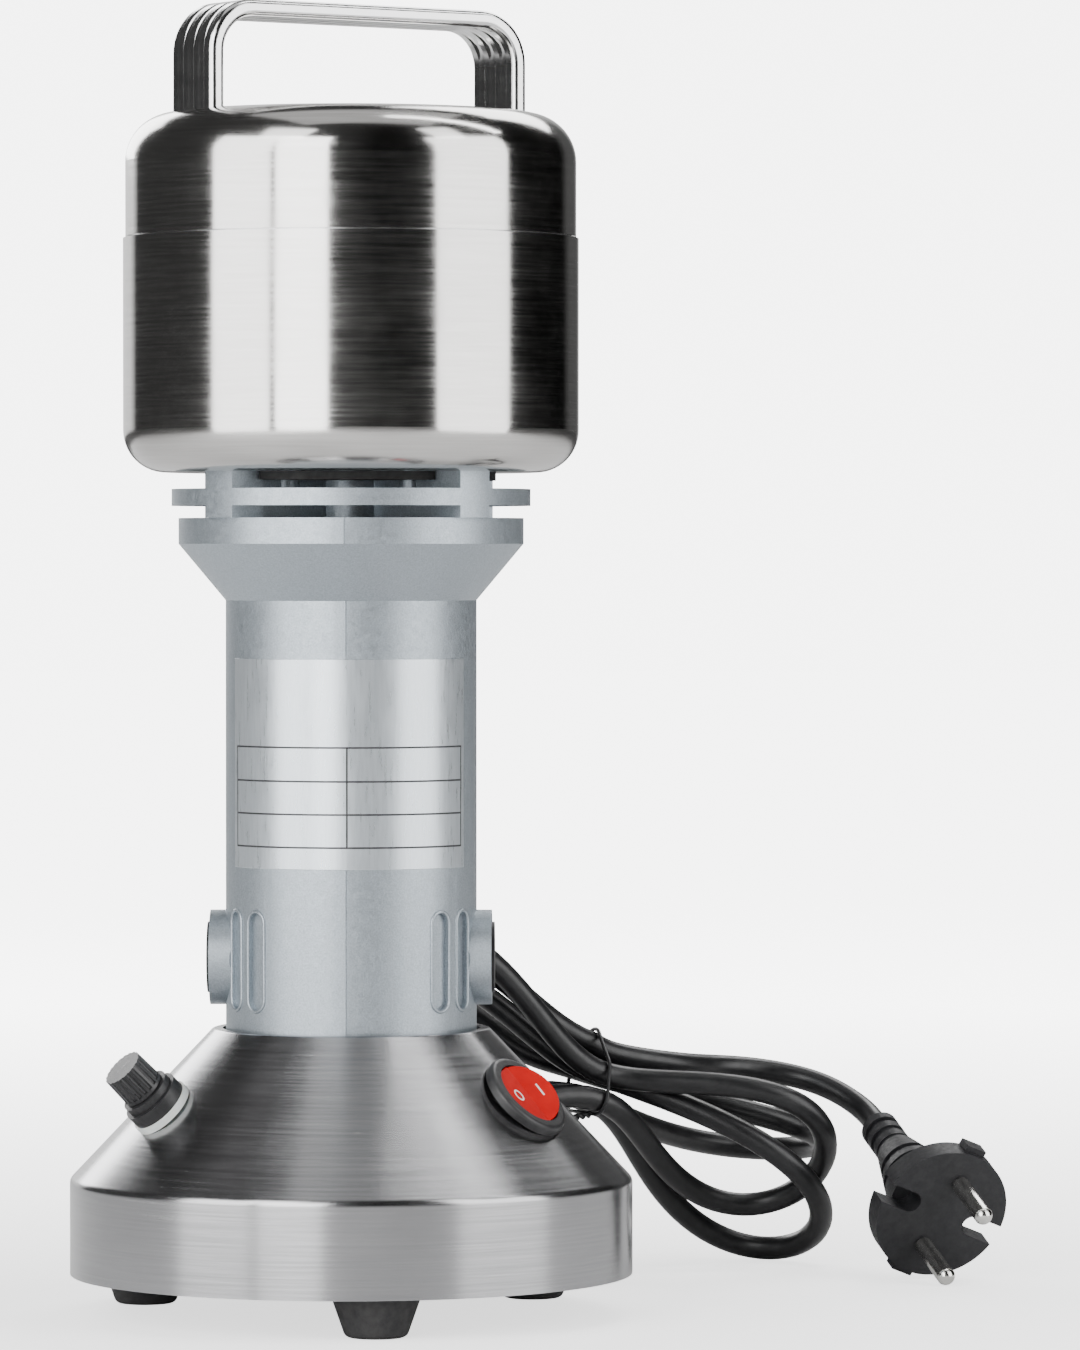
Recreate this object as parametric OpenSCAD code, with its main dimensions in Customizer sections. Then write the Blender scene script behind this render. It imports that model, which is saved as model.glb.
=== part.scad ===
// Electric powder grinder: steel bowl and lid on a motor column,
// conical base with switch and fuse, tied mains cord.
// Millimetres, +Z up, z = 0 on the table, front towards -Y.

/* [Base] */
// Outer diameter of the skirt
base_d = 140; // [120:1:180]
// Height of the upright skirt
skirt_h = 23.5; // [20:0.5:40]
// Height of the cone above the skirt
cone_h = 37.5; // [30:0.5:60]
// Sheet thickness of the base cover
cover_t = 1.2; // [0.8:0.1:2]
// Outer bend between skirt and cone
edge_r = 2.5; // [1.5:0.1:6]
// Width of the flat lip round the column
lip_w = 2.4; // [2:0.1:6]
// Rounding of the lip's outer edge
lip_r = 1.2; // [0.4:0.1:2]
// Gap between lip and column
mouth_gap = 0.8; // [0.3:0.1:2]
// Height of the skirt's lower edge above the table
rim_lift = 10; // [6:0.5:20]
// Thickness of the base plate
plate_t = 2.5; // [1.5:0.1:4]
// How far the base plate sits inside the skirt
plate_recess = 2.2; // [1.5:0.1:5]

/* [Feet] */
// Diameter of a foot at the plate
foot_top_d = 23.5; // [16:0.5:30]
// Diameter of a foot at the table
foot_tip_d = 16; // [12:0.5:24]
// Rounded edge of a foot
foot_edge = 1.8; // [0.5:0.1:3]
// Turn of the front foot from straight ahead
foot_turn = 8; // [0:1:30]

/* [Column] */
// Outer diameter of the motor column
column_d = 62.4; // [60:0.2:80]
// Height of the column above the base cover
column_h = 106.3; // [100:0.5:150]
// Wall of the cast housing
housing_wall = 2.6; // [2:0.1:4]
// Height of the flare under the collar
flare_h = 14; // [8:0.5:25]
// Outer diameter of the collar
collar_d = 85.8; // [80:0.2:100]
// Height of the collar rim
collar_h = 6.4; // [5:0.2:12]
// Thickness of the collar's inner flange
flange_t = 3; // [2:0.1:5]
// Width and depth of the seam groove between the halves
seam_w = 0.6; // [0.2:0.1:1.5]
// Height of the recessed slots
slot_h = 24.3; // [14:0.5:40]
// Width of a recessed slot
slot_w = 5.6; // [3:0.1:8]
// Depth of a recessed slot
slot_depth = 1.3; // [0.5:0.1:1.8]

/* [Neck] */
// Outer diameter of the neck ring
ring_d = 89.2; // [86:0.2:104]
// Thickness of the neck ring
ring_t = 4.2; // [3:0.1:8]
// Air gap between collar and ring
ring_gap = 3; // [2:0.1:6]
// Air gap between ring and bowl
bowl_gap = 4.1; // [3:0.1:8]
// Radial width of the neck ring
ring_w = 7; // [5:0.2:9]
// Width of a neck post
post_w = 9.8; // [7:0.2:14]
// Radial depth of a neck post
post_depth = 10.5; // [8:0.2:11]
// Width of a spoke between hub and post
spoke_w = 3; // [2:0.2:5]
// Outer diameter of the bearing hub
hub_d = 20; // [19:0.2:26]
// Thickness of the gasket under the bowl
gasket_t = 2; // [1:0.1:3]
// Diameter of the gasket
gasket_d = 72; // [60:0.5:85]

/* [Bowl] */
// Outer diameter of the bowl
bowl_d = 113.2; // [110:0.2:140]
// Height of the bowl from its floor to the seam
bowl_h = 58.1; // [54:0.5:90]
// Wall of the bowl
bowl_wall = 1.6; // [1:0.1:3]
// Outer radius of the bowl's lower corner
bowl_corner = 10.5; // [6:0.5:16]
// Wall of the threaded mouth ring
mouth_wall = 3.4; // [2.5:0.1:5]
// Height of the mouth ring
mouth_h = 14; // [12:0.5:20]

/* [Lid] */
// How far the lid's side stands in from the bowl's
lid_step = 0.6; // [0:0.1:2]
// Height of the lid above the seam
lid_h = 30.9; // [28:0.5:50]
// Wall of the lid
lid_wall = 1.4; // [0.8:0.1:2]
// Outer radius of the lid's upper corner
lid_corner = 12; // [6:0.5:16]
// Visible gap between bowl and lid
seam_gap = 0.4; // [0.3:0.1:1.5]
// Wall of the lid's threaded liner
liner_wall = 2.4; // [1.5:0.1:4]
// Depth that the liner reaches into the mouth ring
liner_depth = 10; // [6:0.5:11]
// Height of the liner's ceiling above the seam
liner_rise = 16; // [8:0.5:20]
// Thickness of the lid seal
seal_t = 2; // [1:0.1:3]

/* [Handle] */
// Distance from the handle's ends in to the lid's side
handle_inset = 9.3; // [6:0.1:20]
// Height of the handle above the lid
handle_rise = 26.6; // [20:0.2:50]
// Width of the strap
strap_w = 19; // [14:0.5:28]
// Thickness of the strap
strap_t = 4.2; // [3.6:0.1:7]
// Outer radius of the strap's bends
strap_bend = 13; // [8:0.5:18]
// Rounding of the strap's long edges
strap_edge = 1.7; // [0.5:0.1:1.8]
// Radius of the grooves between the ribs
rib_r = 5; // [2:0.1:6]
// Depth of the grooves
rib_depth = 0.2; // [0.1:0.05:0.8]
// Number of grooves along the strap
rib_count = 3; // [1:1:4]
// Turn of the handle from left-right
handle_turn = 35; // [0:1:90]

/* [Motor] */
// Shaft diameter
shaft_d = 8; // [6:0.1:9]
// Height of the brushes above the base cover's lip
brush_rise = 17.5; // [15:0.5:30]
// Commutator diameter
comm_d = 22; // [18:0.5:26]
// Commutator length
comm_l = 18; // [14:0.5:22]
// Armature diameter
armature_d = 30; // [26:0.5:34]
// Length of the armature and stator cores
core_l = 40; // [30:0.5:44]
// Number of armature teeth
tooth_count = 12; // [8:1:16]
// Air gap between armature and stator
air_gap = 0.6; // [0.3:0.1:1]
// Height of the field coils' end turns
coil_h = 9; // [6:0.5:11]
// Radial thickness of the field coils
coil_w = 7; // [5:0.2:8]
// Height of the fan
fan_h = 11; // [8:0.5:14]
// Number of fan blades
fan_count = 9; // [6:1:14]
// Lower bearing outer diameter
low_bearing_d = 22; // [19:0.5:26]
// Lower bearing height
low_bearing_h = 7; // [5:0.5:8]
// Upper bearing outer diameter
top_bearing_d = 16; // [15:0.5:17]
// Upper bearing height
top_bearing_h = 5; // [4:0.2:5.6]

/* [Brushes] */
// Diameter of the brush bosses
boss_d = 23.6; // [20:0.2:28]
// How far a boss stands out of the column
boss_out = 3.8; // [2:0.1:8]
// Diameter of a brush cap
cap_d = 17.6; // [15:0.2:19]
// How far a cap stands out of its boss
cap_out = 0.7; // [0.3:0.1:3]
// Width of a carbon brush
brush_w = 5; // [4:0.1:6]
// Height of a carbon brush
brush_h = 8; // [6:0.1:9]
// Wall of a brush holder
holder_wall = 1; // [0.6:0.1:1.5]

/* [Blades] */
// Gap between the lower blade's tips and the bowl
low_blade_gap = 10; // [6:0.5:20]
// Gap between the upper blade's tips and the bowl
top_blade_gap = 14; // [6:0.5:24]
// Width of a blade
blade_w = 15; // [12:0.5:20]
// Thickness of a blade
blade_t = 2; // [1.5:0.1:3]
// Length of a bent blade tip
tip_l = 18; // [10:0.5:24]
// Bend of the lower blade's tips
low_tip_a = 16; // [0:1:25]
// Bend of the upper blade's tips
top_tip_a = 12; // [0:1:20]
// Height of the sleeve under the lower blade
low_sleeve_h = 4; // [2:0.5:6]
// Height of the sleeve between the blades
mid_sleeve_h = 9; // [7:0.5:12]
// Height of the blade nut
nut_h = 9; // [7:0.5:11]

/* [Switch] */
// Place of the switch round the base from the front
switch_az = 60; // [40:1:85]
// Place of the switch up the cone from the skirt
switch_up = 29.5; // [24:0.5:36]
// Diameter of the bezel
bezel_d = 23.5; // [22:0.1:26]
// Height of the bezel
bezel_h = 2.6; // [2:0.1:4]
// Diameter of the rocker
rocker_d = 17.4; // [14:0.1:18]
// Diameter of the switch barrel
barrel_d = 20; // [19.6:0.1:21]
// Depth of the switch barrel
barrel_l = 12; // [10:0.2:13]
// Half of the rocker's swing
rock_a = 9; // [5:1:12]

/* [Fuse] */
// Place of the fuse round the base from the front
fuse_az = -60; // [-85:1:-40]
// Place of the fuse up the cone from the skirt
fuse_up = 26; // [20:0.5:32]
// Diameter of the white washer
washer_d = 16; // [14:0.2:20]
// Thickness of the washer
washer_t = 1.8; // [1:0.1:3]
// Diameter of the holder's flange
fuse_flange_d = 15; // [13.5:0.2:19]
// Height of the holder's flange
fuse_flange_h = 3.5; // [2:0.1:5]
// Diameter of the holder's collar
fuse_collar_d = 13; // [12:0.2:14]
// Height of the holder's collar
fuse_collar_h = 2; // [1:0.1:3]
// Diameter of the fuse cap
fuse_cap_d = 11; // [10:0.1:12]
// Height of the fuse cap
fuse_cap_h = 8.4; // [6:0.1:12]
// Number of grip grooves on the cap
grip_count = 20; // [12:1:28]
// Diameter of the holder's barrel
fuse_barrel_d = 12; // [11:0.1:12.6]
// Depth of the holder's barrel
fuse_barrel_l = 19; // [16:0.5:20]
// Diameter of the fuse link
fuse_link_d = 5; // [4:0.1:5.2]

/* [Cord] */
// Cord diameter
cord_d = 6.2; // [6:0.1:6.4]
// Height of the strain relief above the skirt's lower edge
gland_rise = 12; // [11.5:0.5:14]
// Length of the strain relief outside the skirt
gland_l = 25; // [20:0.5:30]
// Ribs on the strain relief
gland_ribs = 4; // [2:1:6]

/* [Plug] */
// Diameter of the plug's face
plug_d = 36; // [34:0.5:39]
// Thickness of the plug's disc
plug_t = 6; // [4:0.2:9]
// Length of the plug from face to cord
plug_l = 48; // [40:0.5:55]
// Diameter of a pin
pin_d = 4.8; // [4:0.1:5]
// Length of a pin
pin_l = 19; // [16:0.5:21]
// Spacing of the pins
pin_gap = 19; // [17:0.5:21]
// Width of the side notches
notch_w = 5.6; // [4:0.2:8]
// Depth of the side notches
notch_depth = 8; // [5:0.2:9]

/* [Clearances] */
// Gap between pieces that move past each other
slip = 0.3; // [0.2:0.05:0.6]
// Gap at assembled fits
seat = 0.05; // [0.02:0.01:0.1]
// Radial gap round the running shaft
run_fit = 0.06; // [0.03:0.01:0.1]

/* [Hidden] */
$fn = 64;
facet = 0.01;

base_r = base_d / 2;
column_r = column_d / 2;
collar_r = collar_d / 2;
ring_r = ring_d / 2;
bowl_r = bowl_d / 2;
lid_r = bowl_r - lid_step;
shaft_r = shaft_d / 2;
boss_r = boss_d / 2;

mouth_hole_r = column_r + mouth_gap;
mouth_r = mouth_hole_r + lip_w;
cone_run = base_r - mouth_r;
cone_len = norm([cone_run, cone_h]);
cone_nr = cone_h / cone_len;
cone_nz = cone_run / cone_len;
cone_tilt = acos(cone_nz);

z_edge = rim_lift + skirt_h;
z_mouth = z_edge + cone_h;
z_plate = rim_lift + plate_recess;
z_plate_top = z_plate + plate_t;
z_flare = z_mouth + column_h;
z_collar = z_flare + flare_h;
z_neck = z_collar + collar_h;
z_ring = z_neck + ring_gap;
z_ring_top = z_ring + ring_t;
z_bowl = z_ring_top + bowl_gap;
z_floor = z_bowl + bowl_wall;
z_seam = z_bowl + bowl_h;
z_lid = z_seam + lid_h;

foot_count = 3;
foot_r = base_r - cover_t - slip - foot_top_d / 2;
foot_bolt_r = 2;
foot_bolt_head_r = 3.6;
foot_bolt_head_h = 2.4;
foot_sink = 3;
foot_bolt_over = 3;
foot_flank = 20;

lug_w = 9;
lug_depth = 11;
lug_h = 9;
lug_r = base_r - cover_t - lug_depth;
screw_r = 1.5;
screw_head_r = 2.8;
screw_head_h = 1.8;
screw_bite = 6;
plate_screw_r = lug_r + lug_depth / 2;
column_floor_t = 5;
column_floor_w = 11;
column_screw_r = column_r - column_floor_w / 2;
cable_hole_r = column_r - column_floor_w;
column_screw_angles = [35, 145, 215, 325];
slot_angles = [46.8, 63.4, 116.6, 133.2];
seam_depth = seam_w * 0.7;

housing_r = column_r - housing_wall;
flange_w = 10;
flange_in = collar_r - flange_w;
neck_screw_in = 6.5;
neck_screw_r = collar_r - neck_screw_in;
wall_slant = housing_wall / cos(atan2(collar_r - column_r, flare_h));

z_brush = z_mouth + brush_rise;
coil_gap = 1.2;
z_core = z_brush + boss_r + coil_gap + coil_h;
z_core_top = z_core + core_l;
comm_r = comm_d / 2;
z_comm = z_brush - comm_l / 2;
armature_r = armature_d / 2;
bore_r = armature_r + air_gap;
stator_r = housing_r - seat;
coil_in = bore_r + coil_gap;
coil_out = coil_in + coil_w;
window_gap = 0.3;
window_a = 34;
window_lap = 2;
coil_a = 5;
winding_in = 2;
winding_r = armature_r - winding_in;
winding_h = 8;
comm_gap = 4;
z_low_bearing = z_comm - comm_gap - low_bearing_h;
web_t = 2.5;
z_web = z_low_bearing - web_t;
ledge_h = 3;
ledge_w = 2.2;
fan_gap = 0.8;
fan_r = column_r - fan_gap;
fan_plate_t = 1.6;
fan_hub_wall = 4;
fan_hub_r = shaft_r + fan_hub_wall;
fan_sweep = 14;
fan_blade_t = 1.4;
z_fan = z_neck - flange_t - fan_h;
race_t = 1.7;
top_race_t = race_t * 0.7;
low_balls = 7;
top_balls = 9;
z_top_bearing = z_ring;
z_hub = z_neck - flange_t + fan_gap;
hub_floor_t = z_ring - z_hub;
z_gasket = z_bowl - gasket_t;
post_in = ring_r - post_depth;
gasket_lap = 1.2;
gasket_bore_r = hub_d / 2 - gasket_lap;
bowl_screw_r = 22;
bowl_screw_bite = 4;
screw_boss_wall = 1.8;

bowl_in_r = bowl_r - bowl_wall;
mouth_in_r = bowl_in_r - seat - mouth_wall;
z_mouth_ring_top = z_seam - seal_t;
liner_r = mouth_in_r - slip;
liner_flange_t = 2.4;
lid_in_r = lid_r - lid_wall;
seal_in_r = liner_r + slip;
seal_out_r = min(bowl_in_r, lid_in_r) - slip;
leg_x = lid_r - handle_inset - strap_t / 2;
handle_leg = handle_rise - strap_bend;
leg_sink = 1;
handle_bend = strap_bend - strap_t / 2;
handle_bar = leg_x - handle_bend;
handle_screw_r = 1.2;
head_over = max(0, leg_x + screw_head_r - (lid_in_r - lid_corner + lid_wall));
head_drop = lid_corner - lid_wall - sqrt((lid_corner - lid_wall) ^ 2 - head_over ^ 2) + seat;
handle_screw_l = 8;

seal_body_h = 4.5;
seal_lap = 3;
shaft_seal_r = gasket_bore_r + seal_lap;
z_low_blade = z_floor + seal_body_h + slip + low_sleeve_h;
z_top_blade = z_low_blade + blade_t + mid_sleeve_h;
z_nut = z_top_blade + blade_t;
sleeve_wall = 3;
sleeve_r = shaft_r + sleeve_wall;
nut_bore = nut_h * 0.6;
nut_hex_h = nut_h * 0.7;
shaft_end = z_nut + nut_bore;
blade_slant = 6;

boss_tip = column_r + boss_out;
boss_clear = 7;
boss_in = comm_r + boss_clear;
cap_r = cap_d / 2;
cap_sink = 2.4;
cap_seat = boss_tip - cap_sink;
cap_slot_w = 2;
cap_slot_depth = 1.2;
cap_slot_l = cap_r * 1.4;
holder_clear = 3;
holder_in = comm_r + holder_clear;
brush_l = 13;
spring_wire = 0.9;
spring_turns = 4;
brush_curve = 0.25;

bezel_r = bezel_d / 2;
rocker_r = rocker_d / 2;
rocker_sink = 1.6;
rocker_pivot = bezel_h - rocker_sink;
rocker_low = 4;
rocker_crown = 1.1;
rocker_tilt = rocker_d * tan(rock_a);
barrel_r = barrel_d / 2;
rocker_bore = rocker_r + slip;
pivot_r = 0.8;
pivot_fit = 0.15;
pivot_reach = 1.2;
pivot_l = 2 * (rocker_bore + pivot_reach);
tab_w = 4.8;
tab_t = 0.8;
tab_l = 7;

fuse_barrel_r = fuse_barrel_d / 2;
fuse_sag = 0.7;
fuse_nut_d = 17;
fuse_nut_t = 4;
fuse_bore_r = fuse_link_d / 2 + slip;
fuse_cap_z = washer_t + fuse_flange_h + fuse_collar_h;
fuse_link_l = 20;
fuse_grip = 4;
fuse_link_z = fuse_cap_z + fuse_grip - fuse_link_l;
fuse_spigot_l = 5;
fuse_spigot_wall = 1.6;
fuse_spigot_r = fuse_link_d / 2 + fuse_spigot_wall;
fuse_draft = 0.25;
grip_r = 0.5;
grip_start = 1.2;

gland_r = 5.8;
gland_flange_r = 9;
gland_flange_t = 2.5;
gland_tip_wall = 1.6;
gland_tip_r = cord_d / 2 + gland_tip_wall;
gland_groove = 0.8;
gland_nut_t = 3;
z_gland = rim_lift + gland_rise;
gland_nut_r = z_gland - z_plate_top - slip;

plug_at = [150.5, 75, 17.4];
plug_pitch = 24;
plug_yaw = -70;
plug_roll = -23;
plug_neck_r = 12;
plug_tail_wall = 2.4;
plug_tail_r = cord_d / 2 + plug_tail_wall;
plug_relief_l = 15;
pin_root = 5;
pin_shoulder = 0.6;
pin_neck_in = 0.4;
pin_neck_r = pin_d / 2 - pin_neck_in;
plug_axis = [cos(plug_pitch) * cos(plug_yaw), cos(plug_pitch) * sin(plug_yaw), -sin(plug_pitch)];
plug_back = plug_at - plug_l * plug_axis;

// The tied hank: three loops that pinch together at the tie, each with its own reach, spread and droop.
loop_rings = 30;
loop_sides = 6;
lead_sides = 8;
hank_at = [58, 101, 49.2];
hank_yaw = 27;
hank_slope = 0.35;
fall_right = 36;
fall_left = 40;
strand_step = 7.2;
strand_rise = 3.7;
pinch_soft = 0.4;
end_round = 0.05;
hank_tail = 0.25;
reach_right = [70, 67, 62];
spread_right = [44, 45, 43];
droop_right = [2, -22, -5.5];
lean_right = [0, 8, 6];
roll_right = [84, 65, 50];
reach_left = [76, 72, 77];
spread_left = [44, 44, 44];
droop_left = [-8, 5, -8.5];
lean_left = [-10, -1, -3.5];
roll_left = [0, 0, 0];
turns = len(reach_right);
last_cross = turns - 0.5;
// Free stretches of the cord, chosen by hand.
lead_in_mid = [
    [-6, 118, 24], [-10, 130, 34], [-10, 136, 48], [-4, 135, 63],
    [6, 126, 74], [16, 114, 76], [28, 104, 68],
];
lead_out_mid = [[84, 118, 53], [91, 129, 52], [102, 135, 51], [114, 136, 49], [124, 132, 46]];
lead_steps = 4;
gland_lead = 1.5 * cord_d;
plug_lead = 1.5 * cord_d;
hank_lead_in = 1.6 * cord_d;
hank_lead_out = 0.9 * cord_d;
tie_w = 2.2;
tie_t = 1.1;
tie_tail = 12;
tie_tail_tilt = [60, -20, 0];
tie_tail_spread = 8;
tie_facets = 24;

function arc(c, r, a0, a1, n = 6) = [
    for (i = [0:n])
        let (a = a0 + (a1 - a0) * i / n)
        c + r * [cos(a), sin(a)]
];
function unit(v) = v / norm(v);
function tanh(x) = (exp(x) - exp(-x)) / (exp(x) + exp(-x));
function ease(x) = x <= 0 ? 0 : x >= 1 ? 1 : x * x * x * (x * (6 * x - 15) + 10);

// Half outline of a cup with a rounded lower corner, for rotate_extrude.
module half_cup(r, h, corner) {
    translate([0, corner])
        square([r, h - corner]);
    square([r - corner, corner + facet]);
    translate([r - corner, corner])
        circle(corner);
}

module ring(r_out, r_in, h) {
    difference() {
        cylinder(r = r_out, h = h);
        translate([0, 0, -1])
            cylinder(r = r_in, h = h + 2);
    }
}

module round_bar(l, r) {
    rotate([0, 90, 0])
        cylinder(r = r, h = l);
}

module pan_screw(r, head_r, head_h, l) {
    cylinder(r = head_r, h = head_h);
    cylinder(r = r, h = head_h + l);
}

// Local frame on the cone: +Z is the outward normal, +Y runs up the slope.
module on_cone(az, up) {
    rotate([0, 0, az])
        translate([0, -base_r + up * cone_nz, z_edge + up * cone_nr])
            rotate([cone_tilt, 0, 0])
                children();
}

module at_switch() {
    on_cone(switch_az, switch_up)
        children();
}

module at_fuse() {
    on_cone(fuse_az, fuse_up)
        children();
}

// Local frame at the rear of the skirt: +Z points straight back.
module at_gland() {
    translate([0, base_r, z_gland])
        rotate([-90, 0, 0])
            children();
}

module round_feet() {
    for (i = [0:foot_count - 1])
        rotate([0, 0, foot_turn + i * 360 / foot_count])
            translate([0, -foot_r, 0])
                children();
}

module round_lugs() {
    for (i = [0:foot_count - 1])
        rotate([0, 0, foot_turn + i * 360 / foot_count])
            children();
}

module round_posts() {
    for (i = [0:3])
        rotate([0, 0, 45 + 90 * i])
            children();
}

module both_sides() {
    children();
    rotate([0, 0, 180])
        children();
}

// Lid

module lid_form() {
    translate([0, 0, z_lid])
        mirror([0, 0, 1])
            rotate_extrude()
                half_cup(lid_r, lid_h - seam_gap, lid_corner);
}

module lid_shell() {
    color("silver")
        difference() {
            lid_form();
            translate([0, 0, z_lid - lid_wall])
                mirror([0, 0, 1])
                    rotate_extrude()
                        half_cup(lid_in_r, lid_h, lid_corner - lid_wall);
            handle_feet()
                translate([0, 0, z_lid - lid_wall - 1])
                    cylinder(r = handle_screw_r + slip, h = lid_wall + 2);
        }
}

module lid_liner() {
    liner_in = liner_r - liner_wall;
    color("gainsboro")
        union() {
            translate([0, 0, z_seam - liner_depth])
                ring(liner_r, liner_in, liner_depth + liner_rise);
            translate([0, 0, z_seam + liner_rise - liner_wall])
                cylinder(r = liner_r, h = liner_wall);
            translate([0, 0, z_seam])
                ring(lid_in_r - seat, liner_in, liner_flange_t);
        }
}

module lid_seal() {
    color("dimgray")
        translate([0, 0, z_mouth_ring_top + seat])
            ring(seal_out_r, seal_in_r, seal_t - 2 * seat);
}

// Strap section: x outward, y across, with shallow grooves along both faces.
module strap_section() {
    pitch = strap_w / (rib_count + 1);
    difference() {
        union() {
            translate([-strap_t / 2, -strap_w / 2 + strap_edge])
                square([strap_t, strap_w - 2 * strap_edge]);
            translate([-strap_t / 2 + strap_edge, -strap_w / 2])
                square([strap_t - 2 * strap_edge, strap_w]);
            for (x = [-1, 1], y = [-1, 1])
                translate([x * (strap_t / 2 - strap_edge), y * (strap_w / 2 - strap_edge)])
                    circle(strap_edge);
        }
        for (x = [-1, 1], i = [1:rib_count])
            translate([x * (strap_t / 2 + rib_r - rib_depth), i * pitch - strap_w / 2])
                circle(rib_r);
    }
}

module handle_feet() {
    rotate([0, 0, handle_turn])
        for (x = [-leg_x, leg_x])
            translate([x, 0, 0])
                children();
}

// Leg and bend of the +X end; the bar joins the two bends face to face.
module half_handle() {
    translate([leg_x, 0, z_lid - leg_sink])
        linear_extrude(handle_leg + leg_sink)
            strap_section();
    translate([handle_bar, 0, z_lid + handle_leg])
        rotate([90, 0, 0])
            rotate_extrude(angle = 90)
                translate([handle_bend, 0])
                    strap_section();
}

module handle_top() {
    translate([-handle_bar, 0, z_lid + handle_leg + handle_bend])
        rotate([0, 90, 0])
            linear_extrude(2 * handle_bar)
                mirror([1, 0])
                    strap_section();
}

module lid_handle() {
    color("gainsboro")
        difference() {
            rotate([0, 0, handle_turn]) {
                both_sides()
                    half_handle();
                handle_top();
            }
            lid_form();
            handle_feet()
                translate([0, 0, z_lid - 1])
                    cylinder(r = handle_screw_r + seat, h = handle_screw_l + 1);
        }
}

module handle_screws() {
    shank = head_drop + lid_wall + handle_screw_l - slip;
    color("gray")
        handle_feet()
            translate([0, 0, z_lid - lid_wall - head_drop - screw_head_h])
                pan_screw(handle_screw_r, screw_head_r, screw_head_h, shank);
}

// Bowl

module bowl() {
    color("silver")
        difference() {
            translate([0, 0, z_bowl])
                rotate_extrude()
                    difference() {
                        half_cup(bowl_r, bowl_h, bowl_corner);
                        translate([0, bowl_wall])
                            half_cup(bowl_in_r, bowl_h, bowl_corner - bowl_wall);
                    }
            translate([0, 0, z_bowl - 1])
                cylinder(r = gasket_bore_r, h = bowl_wall + 2);
            round_posts()
                translate([bowl_screw_r, 0, z_bowl - 1])
                    cylinder(r = screw_r + seat, h = bowl_wall + 2);
        }
}

module bowl_mouth_ring() {
    color("gainsboro")
        translate([0, 0, z_mouth_ring_top - mouth_h])
            ring(bowl_in_r - seat, mouth_in_r, mouth_h);
}

module bowl_gasket() {
    color("black")
        difference() {
            translate([0, 0, z_gasket])
                ring(gasket_d / 2, gasket_bore_r, gasket_t);
            round_posts() {
                translate([post_in - slip, -post_w / 2 - slip, z_gasket - 1])
                    cube([post_depth + 1, post_w + 2 * slip, gasket_t + 2]);
                translate([bowl_screw_r, 0, z_gasket - 1])
                    cylinder(r = screw_r + seat, h = gasket_t + 2);
            }
        }
}

module bowl_screws() {
    color("gray")
        round_posts()
            translate([bowl_screw_r, 0, z_floor + screw_head_h])
                mirror([0, 0, 1])
                    pan_screw(screw_r, screw_head_r, screw_head_h, bowl_wall + gasket_t + bowl_screw_bite);
}

module shaft_seal() {
    color("dimgray")
        difference() {
            union() {
                translate([0, 0, z_gasket])
                    cylinder(r = gasket_bore_r - seat, h = bowl_wall + gasket_t + facet);
                translate([0, 0, z_floor])
                    cylinder(r1 = shaft_seal_r, r2 = gasket_bore_r, h = seal_body_h);
            }
            translate([0, 0, z_gasket - 1])
                cylinder(r = shaft_r + run_fit, h = bowl_wall + gasket_t + seal_body_h + 2);
        }
}

// Blades and motor

// Bent strip with slanting ends.
module blade(l, tip_a) {
    root = l / 2 - tip_l;
    rise = tip_l * tan(tip_a);
    difference() {
        intersection() {
            rotate([90, 0, 0])
                translate([0, 0, -blade_w])
                    linear_extrude(2 * blade_w)
                        polygon([
                            [-l / 2, rise],
                            [-root, 0],
                            [root, 0],
                            [l / 2, rise],
                            [l / 2, rise + blade_t],
                            [root, blade_t],
                            [-root, blade_t],
                            [-l / 2, rise + blade_t],
                        ]);
            translate([0, 0, -l])
                linear_extrude(2 * l)
                    polygon([
                        [-l / 2, -blade_w / 2],
                        [l / 2 - blade_slant, -blade_w / 2],
                        [l / 2, blade_w / 2],
                        [-l / 2 + blade_slant, blade_w / 2],
                    ]);
        }
        translate([0, 0, -1])
            cylinder(r = shaft_r + seat, h = blade_t + 2);
    }
}

module lower_blade() {
    color("lightgray")
        translate([0, 0, z_low_blade])
            blade(2 * (bowl_in_r - low_blade_gap), low_tip_a);
}

module upper_blade() {
    color("lightgray")
        translate([0, 0, z_top_blade])
            rotate([0, 0, 90])
                blade(2 * (bowl_in_r - top_blade_gap), -top_tip_a);
}

module blade_sleeves() {
    color("gray") {
        translate([0, 0, z_low_blade - low_sleeve_h])
            ring(sleeve_r, shaft_r + seat, low_sleeve_h);
        translate([0, 0, z_low_blade + blade_t])
            ring(sleeve_r, shaft_r + seat, mid_sleeve_h);
    }
}

module blade_nut() {
    nut_r = sleeve_r + 1;
    color("lightgray")
        difference() {
            union() {
                translate([0, 0, z_nut])
                    cylinder(r = nut_r, h = nut_hex_h, $fn = 6);
                translate([0, 0, z_nut + nut_hex_h])
                    cylinder(r1 = nut_r * 0.8, r2 = nut_r * 0.4, h = nut_h - nut_hex_h);
            }
            translate([0, 0, z_nut - 1])
                cylinder(r = shaft_r + seat, h = nut_bore + 1 + seat);
        }
}

module motor_shaft() {
    z0 = z_low_bearing - web_t / 2;
    color("lightgray")
        translate([0, 0, z0])
            cylinder(r = shaft_r, h = shaft_end - z0);
}

module armature_core() {
    tooth_gap = armature_d * 0.09;
    tooth_root = winding_r - 3;
    color("slategray")
        difference() {
            translate([0, 0, z_core])
                ring(armature_r, shaft_r + seat, core_l);
            for (i = [0:tooth_count - 1])
                rotate([0, 0, i * 360 / tooth_count])
                    translate([tooth_root, -tooth_gap / 2, z_core - 1])
                        cube([armature_r, tooth_gap, core_l + 2]);
        }
}

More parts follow.
